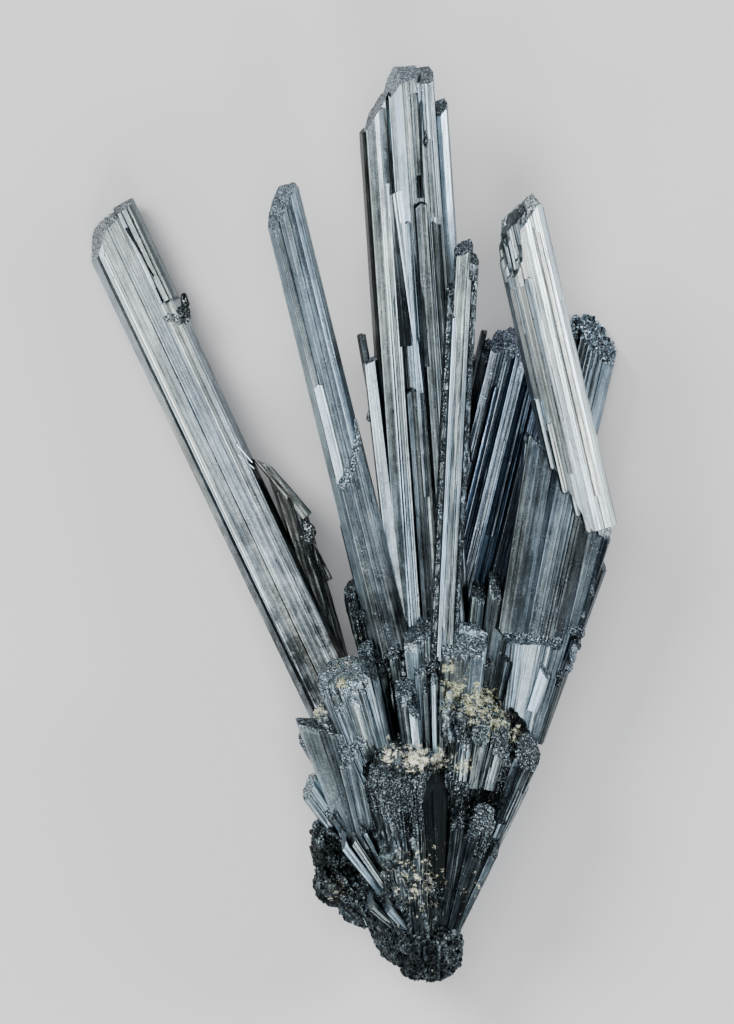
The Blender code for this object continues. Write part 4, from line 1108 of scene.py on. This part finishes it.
def shade_mass(mesh, place, away, swell, grainy):
    """Marks the mass's faces: darker at the foot, with painted shade in the gaps, the hollows, the low
    spots and down the left flank, and a painted highlight on its swellings.
    """
    corners = read(mesh.loops, "vertex_index", kind=int)
    first = corners[read(mesh.polygons, "loop_start", kind=int)]  # where each face takes its tone
    around = np.arctan2(away[:, 0], away[:, 1]) * 50
    rise = np.arctan2(away[:, 2], np.hypot(away[:, 0], away[:, 1])) * 200
    stria = np.column_stack((around, np.linalg.norm(away, axis=1), rise))[corners]
    x, y, z = place.T
    # darker towards the foot, and painted shade down the left flank
    low = np.clip(np.maximum((42 - y) / 42, (-22 - x) / 8), 0, 1)  # the foot and the left flank
    spread = np.random.default_rng(9).uniform(-0.1, 0.1, len(first))
    # the gaps behind the stubs and the hollows are painted black as shade, and no needles grow where the
    # dome covers the mass
    deep = np.clip((50 - z) / 14, 0, 1) * np.clip((y - 55) / 20, 0, 1) * (z > 30)
    covered = np.hypot(x + 8, (y - 56) / 1.5) < 15
    # hollows painted black as shade: each one's centre, its reach across and its reach along
    for hole_x, hole_y, wide, tall in ((20, 60, 10, 6), (-17, 93, 5, 14), (-20, 68, 4, 10)):
        hole = np.hypot((x - hole_x) / wide, (y - hole_y) / tall)
        deep = np.maximum(deep, np.clip(2.4 - 2 * hole, 0, 1.4) * (z > 30))
    # the tone: painted highlight on swellings, painted shade in low spots, gaps, hollows and left flank
    shade = 0.26 + 0.22 * swell[first] - 0.14 * low[first] - 0.35 * deep[first] + spread
    mark(mesh, stria, (0.3 + 0.5 * grainy - 0.3 * covered)[corners], shade)


def crumbly_mass(name, balls, crystals):
    """Balls and crystals grown into one closed skin, rough with grains and with fibres that radiate
    from below the origin of the fan."""
    parts = [crust(centre, radii, 70 + i) for i, (centre, radii) in enumerate(balls)]
    parts += [grow(crystal, 90 + i) for i, crystal in enumerate(crystals)]
    whole = join(name, parts)
    mesh = whole.data
    mesh.remesh_voxel_size = SKIN_CELL * MM
    bpy.ops.object.voxel_remesh()
    only_outer_skin(whole)
    for key in ("stria", "etched", "shade"):
        if key in mesh.attributes:
            mesh.attributes.remove(mesh.attributes[key])

    # bumps: fibres a millimetre across, drawn out along the way they radiate, with grains over them
    place = read(mesh.vertices, "co", 3) / MM - np.array(PLACE)
    out = read(mesh.vertices, "normal", 3)
    away = place - np.array(FIBRE_ORIGIN)
    reach = np.linalg.norm(away, axis=1)
    fibres = away / reach[:, None] * 36 + np.column_stack((0 * reach, 0 * reach, reach / 14))
    grainy = np.clip(0.35 + 1.8 * field(place, 9, 3) + (place[:, 1] - 50) / 90, 0, 1)
    swell = 1.2 * field(fibres, 1.3, 4) + 0.8 * field(fibres, 0.5, 5) + 0.8 * field(place, 3.2, 6)
    swell += grainy * (0.6 * field(place, 1.5, 7) + 0.5 * field(place, 0.8, 8))
    height = 0.9
    place += out * swell[:, None] * height
    place[:, 2] = np.maximum(place[:, 2], LOWEST_GRAIN)
    mesh.vertices.foreach_set("co", ((place + np.array(PLACE)) * MM).ravel())
    shade_mass(mesh, place, away, swell, grainy)
    return whole


crusted = stibnite("root_stibnite_finish", (0.79, 1.0, 1.12), 1.1, 0.36, painted_glint_strength=0.62, rust=True)
core = crumbly_mass("root_core", lumps, crumbly_stubs)
stubs = [
    join(name, [grow(crystal, seed + i) for i, crystal in enumerate(crystals)])
    for name, crystals, seed in (
        ("root_left_stubs", left_stubs, 1000),
        ("root_middle_stubs", middle_stubs, 1030),
        ("root_right_stubs", right_stubs, 1060),
        ("root_back_stubs", back_stubs, 1100),
    )
]
needle = small_crystal(0.2)
needles = strewn("root_needles", needle, [core], 2600, 5, (0.2, 0.4), (3, 8), 0.3, (0.22, 0.2), NEEDLE_ORIGIN)
grains = strewn("root_grains", grain, [core, *stubs], 6000, 6, (0.25, 0.5), (0.2, 0.5), 0.6, (0.3, 0.2))
for piece in (core, *stubs, needles, grains):
    add_oxide(piece)
    dress(piece, crusted)
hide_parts("root_cluster")

# --- Floor, light and camera ---
# A pale matt floor under the spray, soft boxes above and beside it that give the metal its broad
# sheen, and a long lens straight above.
bpy.ops.object.select_all(action="DESELECT")
bpy.ops.mesh.primitive_plane_add(size=12, location=(0, 0, 0))
floor = bpy.context.object
floor.name = "floor"
pale = bpy.data.materials.new("pale_floor")
pale.use_nodes = True
paint = pale.node_tree.nodes["Principled BSDF"].inputs
paint["Base Color"].default_value = (0.78, 0.78, 0.79, 1)
paint["Roughness"].default_value = 0.9
floor.data.materials.append(pale)

world = bpy.data.worlds.new("studio")
bpy.context.scene.world = world
world.use_nodes = True
sky = world.node_tree.nodes["Background"].inputs
sky["Color"].default_value = (0.3, 0.32, 0.36, 1)
sky["Strength"].default_value = 0.35

# each soft box: its name, place, width and watts
for name, place, size, power in (
    ("overhead_box", (-0.2, 0.2, 3.3), 2.2, 70),
    ("upper_left_box", (-1.6, 1.2, 2.0), 1.1, 60),
    ("front_box", (0.3, -1.9, 1.5), 0.8, 25),
    ("right_box", (1.8, 0.3, 0.9), 0.6, 22),
    ("left_box", (-2.0, -0.2, 1.2), 0.9, 9),
):
    bpy.ops.object.light_add(type="AREA", location=place)
    box = bpy.context.object
    box.name = name
    box.data.size = size
    box.data.energy = power
    box.rotation_euler = (Vector((0, 0, 0.03)) - Vector(place)).to_track_quat("-Z", "Y").to_euler()

SENSOR = 36  # millimetres, along the frame's longer side
FRAME_HEIGHT = 0.3328  # metres that the frame's height covers at the middle of the spray
MIDDLE = 0.035  # how high the middle of the spray is
CAMERA_UP = 2.4
bpy.ops.object.camera_add(location=(0.0039, 0.0044, CAMERA_UP + MIDDLE), rotation=(0, 0, 0))
camera = bpy.context.object
camera.data.sensor_width = SENSOR
camera.data.lens = SENSOR * CAMERA_UP / FRAME_HEIGHT
camera.data.clip_end = 20
bpy.context.scene.camera = camera
